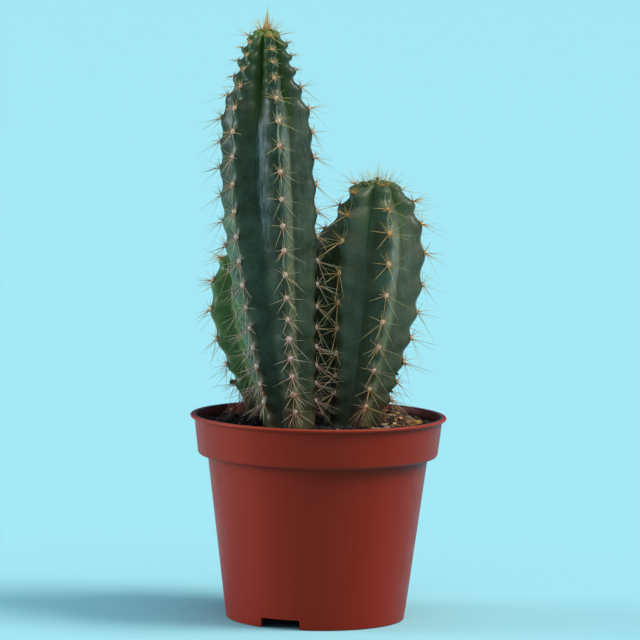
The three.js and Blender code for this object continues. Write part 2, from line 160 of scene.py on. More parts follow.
def draw_out(rings, last):
    """Extrudes the selected ring through rings of (radius, height), from the last one onwards."""
    for radius, height in rings:
        extrude((0, 0, height - last[1]))
        grow = radius / last[0]
        bpy.ops.transform.resize(value=(grow, grow, 1), center_override=(0, 0, height))
        last = (radius, height)


def point_outwards():
    """Turns the shape's faces outwards, and leaves edit mode."""
    bpy.ops.mesh.select_all(action="SELECT")
    bpy.ops.mesh.normals_make_consistent(inside=False)
    bpy.ops.object.mode_set(mode="OBJECT")


def pick(piece):
    """Selects one piece and nothing else."""
    bpy.ops.object.select_all(action="DESELECT")
    bpy.context.view_layer.objects.active = piece
    piece.select_set(True)


def cut_away(piece, cutter):
    """Cuts the cutter's shape out of the piece, and removes the cutter."""
    modifier = piece.modifiers.new("cut", "BOOLEAN")
    modifier.operation = "DIFFERENCE"
    modifier.solver = "EXACT"
    modifier.object = cutter
    pick(piece)
    bpy.ops.object.modifier_apply(modifier=modifier.name)
    bpy.data.objects.remove(cutter, do_unlink=True)


def make_pot():
    """Turns the wall, closes its floor above and below, and cuts the notches and the holes."""
    profile = pot_profile()
    radius, height = profile[0]
    pot = start_shape(
        bpy.ops.mesh.primitive_circle_add,
        vertices=POT_SIDES, radius=radius, location=(0, 0, height),
    )
    pot.name = "nursery_pot"
    bpy.ops.object.transform_apply(location=True, rotation=True, scale=True)
    edit_all()
    draw_out(profile[1:], profile[0])
    floor_radius, floor_height = profile[-1]
    draw_out([(share * floor_radius, floor_height) for share in (0.7, 0.4, 0.05)], profile[-1])
    bpy.ops.mesh.merge(type="CENTER")

    def on_foot(vertex):
        away = math.hypot(vertex.co.x, vertex.co.y)
        return abs(away - radius) < 2 * MERGE and abs(vertex.co.z - height) < 2 * MERGE

    edit_where(pot, "vertices", on_foot)
    recess = BASE_RADIUS - 2 * MM
    slope = 0.4 * MM
    inside = [(recess, 0), (recess - slope, FLOOR_UNDERSIDE), (0.5 * recess, FLOOR_UNDERSIDE)]
    draw_out(inside, profile[0])
    extrude((0, 0, 0))
    bpy.ops.mesh.merge(type="CENTER")
    bpy.ops.mesh.select_all(action="SELECT")
    bpy.ops.mesh.remove_doubles(threshold=MERGE)
    point_outwards()
    for angle in NOTCH_ANGLES:
        cut_away(pot, notch_cutter(angle))
    for i in range(DRAIN_HOLES):
        turn = math.tau * i / DRAIN_HOLES
        at = (DRAIN_RING * math.sin(turn), -DRAIN_RING * math.cos(turn), FLOOR_TOP)
        cut_away(pot, start_shape(
            bpy.ops.mesh.primitive_cylinder_add,
            vertices=32, radius=DRAIN_HOLE_RADIUS, depth=4 * MM, location=at,
        ))
    bpy.ops.object.shade_smooth_by_angle(angle=math.radians(32))
    return pot


def notch_cutter(angle):
    """A block across the foot ring, its upper edges rounded as the mould's are."""
    below = 1 * MM
    cutter = start_shape(
        bpy.ops.mesh.primitive_cube_add,
        size=1, location=(0, -(BASE_RADIUS - 1.5 * MM), NOTCH_HEIGHT / 2 - below),
    )
    cutter.scale = (NOTCH_WIDTH, 9 * MM, NOTCH_HEIGHT + 2 * below)
    bpy.ops.object.transform_apply(location=True, rotation=True, scale=True)

    def upper_and_across(edge):
        ends = [cutter.data.vertices[i].co for i in edge.vertices]
        return min(end.z for end in ends) > 0 and abs(ends[0].y - ends[1].y) > 5 * MM

    edit_where(cutter, "edges", upper_and_across)
    bpy.ops.mesh.bevel(offset=0.9 * MM, segments=4)
    bpy.ops.object.mode_set(mode="OBJECT")
    cutter.data.transform(Matrix.Rotation(math.radians(angle), 4, "Z"))
    return cutter


def linear(colour):
    """An sRGB hex colour as linear red, green, blue and alpha."""
    channels = [int(colour[i:i + 2], 16) / 255 for i in (1, 3, 5)]
    curve = [c / 12.92 if c <= 0.04045 else ((c + 0.055) / 1.055) ** 2.4 for c in channels]
    return (*curve, 1)


def add_node(tree, kind, **settings):
    """Adds a node. A setting is named for a property or a socket, where _6 is socket 6, and is a
    value, a hex colour, a ramp's stops of place and colour, or the node or socket to link there.
    Of a Mix node, socket 0 is the share, and in a mix of colours 6 and 7 are the two colours."""
    node = tree.nodes.new(kind)
    for name, value in settings.items():
        socket = int(name[1:]) if name[0] == "_" else name.replace("_", " ")
        if isinstance(value, bpy.types.Node):
            value = next(output for output in value.outputs if output.enabled)
        if name == "stops":
            for _ in value[2:]:
                node.color_ramp.elements.new(0.5)
            for element, (place, colour) in zip(node.color_ramp.elements, value):
                element.position = place
                element.color = linear(colour)
        elif isinstance(value, bpy.types.NodeSocket):
            tree.links.new(value, node.inputs[socket])
        elif isinstance(socket, int) or socket in node.inputs:
            node.inputs[socket].default_value = linear(value) if isinstance(value, str) else value
        else:
            setattr(node, name, value)
    return node


def where(tree, *patterns):
    """How far several patterns show at once. Each is a source, or a source with the two values
    between which it comes up, and then what it counts for at them if that isn't 0 and 1."""
    shown = None
    for pattern in patterns:
        source, *span = pattern if isinstance(pattern, tuple) else (pattern,)
        if span:
            span = dict(zip(("From_Min", "From_Max", "To_Min", "To_Max"), span))
            source = add_node(tree, "ShaderNodeMapRange", Value=source, **span)
        if shown:
            source = add_node(tree, "ShaderNodeMath", operation="MULTIPLY", _0=shown, _1=source)
        shown = source
    return shown


def coated(tree, colour, *coats):
    """A colour with coats laid over it: each is its own colour, then the patterns it follows."""
    for coat, *patterns in coats:
        share = where(tree, *patterns)
        colour = add_node(tree, "ShaderNodeMix", data_type="RGBA", _0=share, _6=colour, _7=coat)
    return colour


def blank_material(name):
    """A new material with no nodes yet, and its node tree."""
    material = bpy.data.materials.new(name)
    material.use_nodes = True
    material.node_tree.nodes.clear()
    return material, material.node_tree


def inside_darkening(tree, away, height):
    """Where the wall's inside is darkened: lightly at the lip and more a little way below it."""
    middle = {"_1": 0.11, "_2": 46.95 * MM}  # of the band's wall, by its slope and its radius
    taper = add_node(tree, "ShaderNodeMath", operation="MULTIPLY_ADD", _0=height, **middle)
    inside = add_node(tree, "ShaderNodeMath", operation="SUBTRACT", _0=taper, _1=away)
    above = add_node(tree, "ShaderNodeMath", operation="GREATER_THAN", _0=height, _1=77 * MM)
    fading = (height, POT_HEIGHT, 91.5 * MM, 0.1, 0.93)
    return where(tree, (inside, -0.1 * MM, 0.1 * MM), fading, above)


def shade_and_dark_lip_top(tree, height):
    """Painted shade in the corners under the ledge and under the lip, and the lip's top darker."""
    none, ledge = "#000000", "#b4b4b4"
    stops = [(0.1, none), (0.25, "#5c5c5c"), (0.327, ledge), (0.363, ledge), (0.387, none)]
    stops += [(0.88, none), (0.93, "#9c9c9c"), (0.945, none), (0.973, none), (0.982, "#c4c4c4")]
    band = where(tree, (height, 66 * MM, 96 * MM))
    return add_node(tree, "ShaderNodeValToRGB", stops=stops, Fac=band)


def rim(tree, away, height):
    """The lip's top as a coat: darker inside and in its middle, with painted highlights on its
    edges.
    """
    across = where(tree, (away, 57 * MM, 60.2 * MM))
    places = (0.3, 0.35, 0.46, 0.52, 0.7, 0.76, 0.9, 0.97)
    tones = ("#26100e", "#b98478", "#b98478", "#5a1a12", "#5a1a12", "#cc4f38")
    colour = add_node(tree, "ShaderNodeValToRGB", stops=list(zip(places, tones)), Fac=across)
    tones = ("#f6f6f6", "#989898", "#989898", "#a0a0a0", "#a0a0a0", "#b4b4b4", "#b4b4b4", "#000000")
    share = add_node(tree, "ShaderNodeValToRGB", stops=list(zip(places, tones)), Fac=across)
    return colour, share, (height, 94.8 * MM, 95.1 * MM)


def pot_material():
    # Moulded polypropylene: even satin colour, faint flow marks, and dust in the finest scuffs.
    # A noise's scale is its patches to the metre: flow 25 mm wide, scuffs 6 mm and dust 1.1 mm.
    material, tree = blank_material("moulded_polypropylene")
    place = add_node(tree, "ShaderNodeTexCoord").outputs["Object"]
    height = add_node(tree, "ShaderNodeSeparateXYZ", Vector=place).outputs["Z"]
    level = add_node(tree, "ShaderNodeVectorMath", operation="MULTIPLY", _0=place, _1=(1, 1, 0))
    away = add_node(tree, "ShaderNodeVectorMath", operation="LENGTH", _0=level)
    long = add_node(tree, "ShaderNodeMapping", Scale=(40, 40, 9), Vector=place)
    flow = add_node(tree, "ShaderNodeTexNoise", Scale=1.0, Detail=3.0, Vector=long)
    dust = add_node(tree, "ShaderNodeTexNoise", Scale=900.0, Detail=4.0, Vector=place)
    scuff = add_node(tree, "ShaderNodeTexNoise", Scale=160.0, Detail=6.0, Vector=place)
    stops = ((0.3, "#942617"), (0.7, "#9a2919"))
    colour = coated(
        tree, add_node(tree, "ShaderNodeValToRGB", stops=stops, Fac=flow),
        ("#b98a7c", (dust, 0.68, 0.8, 0.0, 0.16)),
        # Painted shade under the ledge and the lip, and a darker top of the lip.
        ("#4a150f", shade_and_dark_lip_top(tree, height)),
        # The wall's inside darker, more so below the lip.
        ("#3c0f12", inside_darkening(tree, away, height)),
        # Painted highlights as pale lines along both edges of the lip's top.
        rim(tree, away, height),
    )
    shader = add_node(
        tree, "ShaderNodeBsdfPrincipled", Base_Color=colour,
        Roughness=where(tree, (scuff, 0.3, 0.7, 0.38, 0.5)),
        Normal=add_node(tree, "ShaderNodeBump", Strength=0.06, Distance=0.2 * MM, Height=dust),
        IOR=1.49, Specular_IOR_Level=0.3, Specular_Tint="#d89c8a",
    )
    add_node(tree, "ShaderNodeOutputMaterial", Surface=shader)
    return material


pot = make_pot()
pot.data.materials.append(pot_material())
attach(pot, "root")
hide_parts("pot")


# ---------------------------------------------------------------------------------------------
# The soil. A dark mix of peat and composted bark, poured in and settled by watering. It fills the
# pot to a little under its lip, and lies in heaps and clods, higher towards the back right.
# ---------------------------------------------------------------------------------------------
SOIL_LEVEL = 90 * MM
SOIL_RADIUS = 55.3 * MM
SOIL_CELLS = 190
STEM_FEET = ((-12.3 * MM, -8 * MM), (16.4 * MM, 6.5 * MM), (-23 * MM, 20 * MM))


def soil_height(x, y):
    """The soil's surface: broad heaps, then clods, then crumbs, a little higher at the stems."""
    height = SOIL_LEVEL
    layers = (
        (19 * MM, (3, 1, 0), 1.5 * MM), (5.5 * MM, (0, 0, 0), 1.2 * MM),
        (1.9 * MM, (0, 7, 0), 0.7 * MM), (0.9 * MM, (5, 0, 0), 0.35 * MM),
    )
    for width, shift, rise in layers:
        height += noise.noise(Vector((x, y, 0)) / width + Vector(shift)) * rise
    to_right = min(1, max(0, (x + 5 * MM) / (40 * MM)))
    to_back = min(1, max(0, (y + 20 * MM) / (40 * MM)))
    near = min(math.hypot(x - foot[0], y - foot[1]) for foot in STEM_FEET)
    return height + 1.6 * MM * to_right * to_back + 1.2 * MM * max(0, 1 - near / (20 * MM))


def make_soil():
    """A square grid drawn round, with the surface's heights, and the sides of the mix below it."""
    soil = start_shape(
        bpy.ops.mesh.primitive_grid_add,
        x_subdivisions=SOIL_CELLS, y_subdivisions=SOIL_CELLS, size=2, location=(0, 0, 0),
    )
    soil.name = "potting_mix"
    for vertex in soil.data.vertices:
        u, v = vertex.co.x, vertex.co.y
        reach = max(abs(u), abs(v))
        square = reach / max(1e-9, math.hypot(u, v))
        x = u * square * SOIL_RADIUS
        y = v * square * SOIL_RADIUS
        vertex.co = (x, y, soil_height(x, y) if reach < 0.9999 else SOIL_LEVEL - 1 * MM)
    edit_all()
    bpy.ops.mesh.region_to_loop()
    sides = [(54.5 * MM, 80 * MM), (49.8 * MM, 76.6 * MM), (41.2 * MM, 8 * MM), (40 * MM, 6.6 * MM)]
    draw_out(sides, (SOIL_RADIUS, SOIL_LEVEL))
    bpy.ops.mesh.edge_face_add()
    point_outwards()
    bpy.ops.object.shade_smooth_by_angle(angle=math.radians(60))
    return soil


def flecked(tree, colour, grain, dark, full, depth):
    """A colour with a grain's low spots made darker; the grain runs out at full."""
    stops = ((0.3, dark), (full, "#ffffff"))
    fleck = add_node(tree, "ShaderNodeValToRGB", stops=stops, Fac=grain)
    mix = {"data_type": "RGBA", "blend_type": "MULTIPLY"}
    return add_node(tree, "ShaderNodeMix", **mix, _0=depth, _6=colour, _7=fleck)


def soil_material():
    # Peat and composted bark: nearly black where damp, brown and fibrous where it has dried. Its
    # dry patches are 9 mm across, its grains 1.3 mm and its fibres under 1 mm.
    material, tree = blank_material("peaty_potting_mix")
    place = add_node(tree, "ShaderNodeTexCoord").outputs["Object"]
    patch = add_node(tree, "ShaderNodeTexNoise", Scale=110.0, Detail=5.0, Vector=place)
    grain = add_node(tree, "ShaderNodeTexVoronoi", Scale=800.0, Vector=place)
    fibre = add_node(tree, "ShaderNodeTexNoise", Scale=1500.0, Detail=3.0, Vector=place)
    stops = ((0.3, "#1d1512"), (0.5, "#33261e"), (0.72, "#54402f"))
    damp = add_node(tree, "ShaderNodeValToRGB", stops=stops, Fac=patch)
    shader = add_node(
        tree, "ShaderNodeBsdfPrincipled", Roughness=0.95,
        Base_Color=flecked(tree, damp, fibre, "#6a6058", 0.7, 0.7),
        Normal=add_node(tree, "ShaderNodeBump", Strength=0.9, Distance=0.6 * MM, Height=grain),
    )
    add_node(tree, "ShaderNodeOutputMaterial", Surface=shader)
    return material


soil = make_soil()
soil.data.materials.append(soil_material())
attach(soil, "root")
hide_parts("soil")


# ---------------------------------------------------------------------------------------------
# The loose top of the soil: crumbs of peat, chips and long strips of composted pine bark, root
# fibres and a few pale granules, all lying where they fell between the stems and the wall.
# ---------------------------------------------------------------------------------------------
FOOT_CLEAR = (12.9 * MM, 14.4 * MM, 11.4 * MM)
HEAP_CLEAR = 16.5 * MM
HEAP_REACH = 50 * MM


def take_apart(shape):
    """The vertices and faces of a shape made by hand, which is then removed."""
    vertices = np.array([vertex.co for vertex in shape.data.vertices])
    faces = [tuple(face.vertices) for face in shape.data.polygons]
    bpy.data.objects.remove(shape, do_unlink=True)
    return vertices, faces


def planted(name, shape, places):
    """One object of a copy of the shape at each place: (origin, three axes, tint). Each point
    keeps its copy's tint, and its share of the way up the shape."""
    vertices, faces = shape
    spots, rings, tints, shares = [], [], [], []
    share = (vertices[:, 2] - vertices[:, 2].min()) / np.ptp(vertices[:, 2])
    for origin, axes, tint in places:
        first = len(spots) * len(vertices)
        spots.append(vertices @ np.array(axes) + np.array(origin))
        rings += [tuple(first + i for i in face) for face in faces]
        tints.append(np.full(len(vertices), tint))
        shares.append(share)
    mesh = bpy.data.meshes.new(name)
    mesh.from_pydata(np.concatenate(spots), [], rings)
    for mark, values in (("tint", tints), ("share", shares)):
        data = mesh.attributes.new(mark, "FLOAT", "POINT").data
        data.foreach_set("value", np.concatenate(values))
    piece = bpy.data.objects.new(name, mesh)
    bpy.context.scene.collection.objects.link(piece)
    pick(piece)
    return piece


def crumb_shape(seed):
    """A crumb one unit in radius, broken and rough."""
    shape = start_shape(
        bpy.ops.mesh.primitive_ico_sphere_add, subdivisions=2, radius=1, location=(0, 0, 0),
    )
    for vertex in shape.data.vertices:
        rough = 1 + 0.55 * noise.noise(vertex.co * 1.3 + Vector((seed, 0, 0)))
        vertex.co *= rough + 0.25 * noise.noise(vertex.co * 4 + Vector((0, seed, 0)))
    return take_apart(shape)


def chip_shape(seed):
    """A splinter of bark, two units long: a block with its ends drawn in and its faces split."""
    shape = start_shape(bpy.ops.mesh.primitive_cube_add, size=2, location=(0, 0, 0))
    edit_all()
    bpy.ops.mesh.subdivide(number_cuts=3)
    bpy.ops.object.mode_set(mode="OBJECT")
    for vertex in shape.data.vertices:
        x, y, z = vertex.co
        ends = 1 - 0.45 * abs(x) ** 3
        layer = 0.22 * noise.noise(Vector((x, 3 * y, seed)))
        ragged = 0.3 * noise.noise(Vector((seed, 2.5 * y, 2.5 * z))) * abs(x)
        vertex.co = (x + ragged, y * ends + 0.12 * x * x, z * ends + layer + 0.25 * (1 - x * x))
    return take_apart(shape)


def fibre_shape(bow, wave):
    """A root fibre two units long, drawn as a flat tube along a bowed line."""
    last = (0, 0, -1)
    shape = start_shape(
        bpy.ops.mesh.primitive_circle_add, vertices=4, radius=0.5, location=last,
    )
    bpy.ops.object.transform_apply(location=True, rotation=True, scale=True)
    edit_all()
    for i in range(1, 8):
        z = -1 + 2 * i / 7
        now = (bow * (1 - z * z), wave * math.sin(4 * z), z)
        extrude(tuple(a - b for a, b in zip(now, last)))
        last = now
    bpy.ops.mesh.edge_face_add()
    bpy.ops.object.mode_set(mode="OBJECT")
    return take_apart(shape)


def lying(rng, x, y, half, lift, tilt):
    """A long bit's place on the soil: half sizes, how high it lies and how far it is tipped up."""
    turn = Matrix.Rotation(rng.uniform(0, 2 * math.pi), 3, "Z") @ Matrix.Rotation(-tilt, 3, "Y")
    turn = turn @ Matrix.Rotation(rng.uniform(-0.5, 0.5), 3, "X")
    axes = [turn @ axis * size for axis, size in zip(Matrix.Identity(3), half)]
    return (x, y, soil_height(x, y) + lift), axes


def open_ground(rng, margin, dark=True):
    """A random spot of soil, that far from the wall and from every stem. Dark bits lie anywhere,
    and pale ones keep off the damp soil in front of the stems."""
    while True:
        away = (SOIL_RADIUS - margin) * math.sqrt(rng.random())
        turn = rng.uniform(0, 2 * math.pi)
        x, y = away * math.cos(turn), away * math.sin(turn)
        feet = zip(STEM_FEET, FOOT_CLEAR)
        clear = min(math.hypot(x - foot[0], y - foot[1]) - room for foot, room in feet)
        if clear > margin and (dark or not (-8 * MM < x < 14 * MM and y < 30 * MM)):
            return x, y


def strew_crumbs(rng, count, low, high, tints):
    """Crumbs between two radii in millimetres, each sunk a little into the soil."""
    places = []
    for _ in range(count):
        size = rng.uniform(low, high) * rng.uniform(0.7, 1) * MM
        x, y = open_ground(rng, size)
        angle = rng.uniform(0, 2 * math.pi)
        turn = Matrix.Rotation(angle, 3, (rng.random(), rng.random(), 0.5))
        axes = [turn @ Vector(axis) * size for axis in ((1, 0, 0), (0, 1, 0), (0, 0, 0.8))]
        places.append(((x, y, soil_height(x, y) + 0.3 * size), axes, rng.uniform(*tints)))
    return places


def strew_chips(rng, count):
    """Bark chips, which lie on the soil or lean on it."""
    places = []
    for _ in range(count):
        half = [rng.uniform(*sizes) * MM for sizes in ((1.8, 4.6), (0.8, 1.7), (0.3, 0.6))]
        x, y = open_ground(rng, half[0], dark=False)
        tilt = rng.uniform(-0.2, 0.3)
        places.append((*lying(rng, x, y, half, 0.5 * MM, tilt), rng.random()))
    return places


def strew_fibres(rng, count):
    """Root fibres, laid along the soil with their length as the last axis."""
    places = []
    for _ in range(count):
        half = rng.uniform(2.2, 5.5) * MM
        x, y = open_ground(rng, 0.8 * half, dark=False)
        thick = rng.uniform(0.22, 0.5) * MM
        tilt = rng.uniform(-0.12, 0.25)
        place, axes = lying(rng, x, y, (half, thick, 0.6 * thick), 0.9 * MM, tilt)
        places.append((place, axes[::-1], rng.random()))
    return places


def heap(rng, count, low, high, top, thick):
    """Bits heaped between two corners of the soil, most of them lying one over another."""
    places = []
    while len(places) < count:
        x, y = (rng.uniform(a, b) * MM for a, b in zip(low, high))
        near = min(math.hypot(x - foot[0], y - foot[1]) for foot in STEM_FEET)
        if near < HEAP_CLEAR or math.hypot(x, y) > HEAP_REACH:
            continue
        size = rng.choice((0.5, 0.9, 1.3, 2.1))
        half = [size * rng.uniform(*share) * MM for share in ((1, 2), (0.4, 0.8), thick)]
        lift = rng.uniform(0.2 * top, top) * MM
        places.append((*lying(rng, x, y, half, lift, rng.uniform(-0.4, 0.55)), rng.random()))
    return places


def root_bundle(rng, foot, top, spread, count):
    """Dry root hairs that lean together against a stem's foot."""
    places = []
    for _ in range(count):
        start = (foot[0] + rng.gauss(0, spread), foot[1] + rng.gauss(0, 0.5 * spread))
        low = Vector((*start, SOIL_LEVEL / MM + 1))
        share = rng.uniform(0.35, 1.05)
        end = (top[0] + rng.gauss(0, 0.6 * spread), top[1] + rng.gauss(0, 0.3 * spread), top[2])
        reach = (Vector(end) - low) * MM * share / 2
        side = reach.orthogonal().normalized() * rng.uniform(0.12, 0.24) * MM
        other = reach.cross(side).normalized() * side.length
        places.append((low * MM + reach, (side, other, reach), rng.random()))
    return places


def loose_material(name, stops, grain, roughness):
    # Dry vegetable litter: each bit takes its own tone between nearly black and straw, and is
    # darker in its cracks. The grain is cracks to the metre, which are 1 to 2 mm apart.
    material, tree = blank_material(name)
    place = add_node(tree, "ShaderNodeTexCoord").outputs["Object"]
    tint = add_node(tree, "ShaderNodeAttribute", attribute_name="tint").outputs["Fac"]
    wood = add_node(tree, "ShaderNodeTexNoise", Scale=grain, Detail=4.0, Vector=place)
    tone = add_node(tree, "ShaderNodeValToRGB", stops=stops, Fac=tint)
    shader = add_node(
        tree, "ShaderNodeBsdfPrincipled", Roughness=roughness,
        Base_Color=flecked(tree, tone, wood, "#5a504a", 0.62, 0.8),
        Normal=add_node(tree, "ShaderNodeBump", Strength=0.7, Distance=0.3 * MM, Height=wood),
    )
    add_node(tree, "ShaderNodeOutputMaterial", Surface=shader)
    return material


litter = random.Random(5)
peat = loose_material(
    "peat_crumb", [(0.0, "#15100e"), (0.6, "#2b201a"), (1.0, "#4a3628")], 900.0, 0.95,
)
bark = loose_material(
    "composted_pine_bark",
    [(0.0, "#3a251c"), (0.3, "#6b4630"), (0.65, "#9c7456"), (1.0, "#c2a383")], 700.0, 0.85,
)
root = loose_material(
    "root_fibre",
    [(0.0, "#6b3526"), (0.45, "#9c6440"), (0.75, "#d09a45"), (1.0, "#d9b672")], 900.0, 0.8,
)
dry_bark = loose_material(
    "sun_dried_bark",
    [(0.0, "#3a251c"), (0.35, "#7d523c"), (0.6, "#b87f44"), (0.78, "#e2aa48"), (1.0, "#e2c6aa")],
    500.0, 0.8,
)
dry_root = loose_material(
    "dry_root_hair", [(0.0, "#7a4234"), (0.5, "#a8694f"), (1.0, "#cda382")], 900.0, 0.85,
)
red_root = loose_material(
    "reddish_root_hair", [(0.0, "#a04a3c"), (1.0, "#e0a088")], 900.0, 0.85,
)
grit = loose_material("pale_granule", [(0.0, "#8f7a4c"), (1.0, "#c9bd93")], 900.0, 0.8)
chip_places = strew_chips(litter, 70)
loose = [
    ("peat_crumbs_1", crumb_shape(1), strew_crumbs(litter, 420, 0.7, 1.9, (0, 0.8)), peat),
    ("peat_crumbs_2", crumb_shape(9), strew_crumbs(litter, 420, 0.5, 1.5, (0.1, 1)), peat),
    ("bark_chips_1", chip_shape(2), chip_places[::2], bark),
    ("bark_chips_2", chip_shape(6), chip_places[1::2], bark),
    ("root_fibres_1", fibre_shape(0.25, 0.3), strew_fibres(litter, 90), root),
    ("root_fibres_2", fibre_shape(-0.1, 0.6), strew_fibres(litter, 90), root),
    ("granules", crumb_shape(4), strew_crumbs(litter, 34, 0.6, 1.2, (0, 1)), grit),
]
# Heaps: the two corners they lie between and how high they reach, in millimetres, and how thick
# their bits are. Root hairs: their foot, their top and their spread, in millimetres.
for name, shape, count, low, high, top, thick, finish in (
    ("dried_bark_heap", chip_shape(11), 90, (27, -12), (49, 34), 1.9, (0.22, 0.36), dry_bark),
    ("peat_clods_left", crumb_shape(13), 150, (-42, -8), (-27, 14), 4.4, (0.5, 0.8), peat),
    ("granules_left", crumb_shape(8), 6, (-44, 16), (-40, 26), 4.5, (0.6, 0.8), grit),
):
    loose.append((name, shape, heap(litter, count, low, high, top, thick), finish))
for side, bow, wave, foot, top, spread, count, finish in (
    ("far", 0.3, 0.2, (-37, 14), (-33, 14, 104), 5.0, 90, red_root),
    ("right", 0.12, 0.1, (17, -8.8), (22, -8.8, 106), 2.2, 44, dry_root),
    ("side", -0.15, 0.2, (31, -3), (30, -1, 103), 2.0, 26, dry_root),
    ("tall", 0.1, 0.2, (-12, -21.5), (-14.6, -21.4, 103), 1.4, 18, dry_root),
    ("left", 0.2, 0.1, (-28, -2), (-27, -1, 105), 3.4, 56, dry_root),
):
    places = root_bundle(litter, foot, top, spread, count)
    loose.append(("root_hairs_" + side, fibre_shape(bow, wave), places, finish))
for name, shape, places, finish in loose:
    piece = planted(name, shape, places)
    piece.data.materials.append(finish)
    bpy.ops.object.shade_smooth_by_angle(angle=math.radians(40))
    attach(piece, "root")


# ---------------------------------------------------------------------------------------------
# The stems. Six-ribbed columns of one plant, each grown in one piece: waxy blue-green skin, rib
# crests that swell at every areole, and narrow young growth at the tip of the tall one. Lengths
# are in millimetres here, up to where a mesh is made.
# ---------------------------------------------------------------------------------------------
RIBS = 6
RIB_STEP = 360 / RIBS
RIB_COLUMNS = 20
AREOLE_ROWS = 14
SHOULDER = 2.5  # half width of a rib's rounded crest
SOIL_TOP = 92  # from where a stem leans
FOOT_LEVEL = -2  # in areoles, where the skin starts
TIP_LEVEL = 0.28  # in areoles, how far the skin runs on above the last one
FOOT_END = 68
# Skin marks: nearness to a crest, age, then painted light, a painted sheen and a highlight.
SKIN_MARKS = ("crest", "age", "rubbed", "sheen", "scuffed")

# Each stem has the place of its foot, how far it leans and bends on the way up, the radius of its
# crests by height, the heights of its areoles, how far up each rib is shifted and how far it
# reaches out, the depth of its scallops and furrows, the length of its spines and how golden they
# are, the tuft and soft crown at its tip, the heights between which its spines broke off short,
# the ages from which its skin is plainer and browner, and that skin's colours: dark, middle,
# bloom, fresh growth and tip.
TALL = dict(
    name="stem_tall", slot="tall_stem_skin",
    foot=(-13.7, -8), lean=(-27.1, -3), bend=(13.6, 2), tip=275.8,
    outline=((92, 12.2), (108, 14.4), (131, 17.2), (173, 21.3), (199, 22.3), (223, 21.6),
             (238, 20.1), (246, 16.8), (253, 14.2), (266, 10.4), (272.5, 6.8), (275.8, 1.2)),
    areoles=((-1, 92), (0, 99), (5, 142.5), (9, 186), (12, 223), (15, 253.5), (18, 272.2)),
    count=19, first_rib=-104, phases=(0, 0.5, 0, 0.5, 0, 0.5), reach=(1, 1, 1, 1, 1, 1),
    scallop=1.4, furrow=0.26, tip_furrow=0.56, young=0.8, spine=8.2, golden=0.35, seed=11,
    tuft=(22, 3.6, 11.2), crown=(4.4, 1.7, "#6f8a34"), broken=(252, 270.5),
    skin="blue_green_waxy_skin", plain_from=0.35, bark_from=0.6,
    greens=("#2c3121", "#3e452c", "#748a8c", "#4d632c", "#7f9436"),
)
RIGHT = dict(
    name="stem_right", slot="right_stem_skin",
    foot=(16.3, 6.5), lean=(23.1, 3), bend=(-13.5, -1), tip=205,
    outline=((92, 13.4), (108, 16), (131, 19.7), (152, 22), (172, 22.6), (186, 20.2),
             (194, 16.8), (199, 13.9), (203, 9.6), (205, 1.2)),
    areoles=((-1, 92), (0, 100.6), (2, 117.8), (5, 153.2), (7, 182), (9, 203)),
    count=10, first_rib=-106, phases=(0, 0.68, 0, 0.3, 0.7, 0.3), reach=(1.52, 1, 1, 1, 1, 1.06),
    scallop=2, furrow=0.27, tip_furrow=0.42, young=0.86, spine=10, golden=0, seed=23,
    tuft=(3, 8.2, 10.6), crown=(6.6, 2.6, "#4d6530"), broken=(0, 0),
    skin="deep_green_waxy_skin", plain_from=0.1, bark_from=0.6,
    greens=("#474833", "#5a5b41", "#849580", "#566a3f", "#52683a"),
)
LEFT = dict(
    name="stem_left", slot="left_stem_skin",
    foot=(-23, 20), lean=(-19.6, 13), bend=(6.6, -6), tip=173,
    outline=((92, 10.6), (108, 13.6), (127, 18.6), (141, 20), (153, 18.4), (163, 13.8),
             (169.5, 8.4), (173, 1.2)),
    areoles=((-1, 92), (0, 105.5), (1, 114.2), (2, 125.6), (4, 153), (5, 164.5), (6, 171.5)),
    count=7, first_rib=-65, phases=(0.25, 0.75, 0, 0.25, 0.75, 0), reach=(1, 1, 1, 1, 1, 1),
    scallop=2, furrow=0.27, tip_furrow=0.4, young=0.86, spine=8.4, golden=0.1, seed=37,
    tuft=(6, 4.2, 8.4), crown=(4.6, 2.0, "#5f7f37"), broken=(0, 0),
    skin="yellow_green_waxy_skin", plain_from=0.0, bark_from=0.2,
    greens=("#465a2b", "#546a36", "#82966c", "#627f3a", "#5f7f37"),
)
STEMS = (TALL, RIGHT, LEFT)


def along(points, at):
    """A smooth line through a few (position, value) points."""
    i = 0
    while i < len(points) - 2 and at > points[i + 1][0]:
        i += 1

    def slope(a, b):
        return (points[b][1] - points[a][1]) / (points[b][0] - points[a][0])

    before = slope(max(i - 1, 0), 1 if i == 0 else i + 1)
    after = slope(i, min(i + 2, len(points) - 1))
    step = points[i + 1][0] - points[i][0]
    rise = points[i + 1][1] - points[i][1]
    t = (at - points[i][0]) / step
    curve = (before * step - rise) * (1 - t) - (after * step - rise) * t
    return points[i][1] + rise * t + t * (1 - t) * curve


def ease(value, low, high):
    """How far a value is from low to high, from 0 to 1, with soft ends."""
    t = min(1, max(0, (value - low) / (high - low)))
    return t * t * (3 - 2 * t)


def grown(stem, height):
    """How far up the stem a height is, from 0 at the soil to 1 at the tip."""
    return max(0, (height - SOIL_TOP) / (stem["tip"] - SOIL_TOP))


def axis_at(stem, height):
    """Where the stem's leaning axis is at a height."""
    t = grown(stem, height)
    x, y = (stem["foot"][i] + stem["lean"][i] * t + stem["bend"][i] * t * t for i in (0, 1))
    return x, y


def crest_radius(stem, rib, height):
    """How far a rib's crest is from the axis, with nothing of its scallops."""
    radius = along(stem["outline"], max(height, SOIL_TOP))
    reach = 1 + (stem["reach"][rib] - 1) * (1 - ease(grown(stem, height), 0.66, 0.88))
    return radius * (1 + (reach - 1) * ease(height, SOIL_TOP, SOIL_TOP + 12))


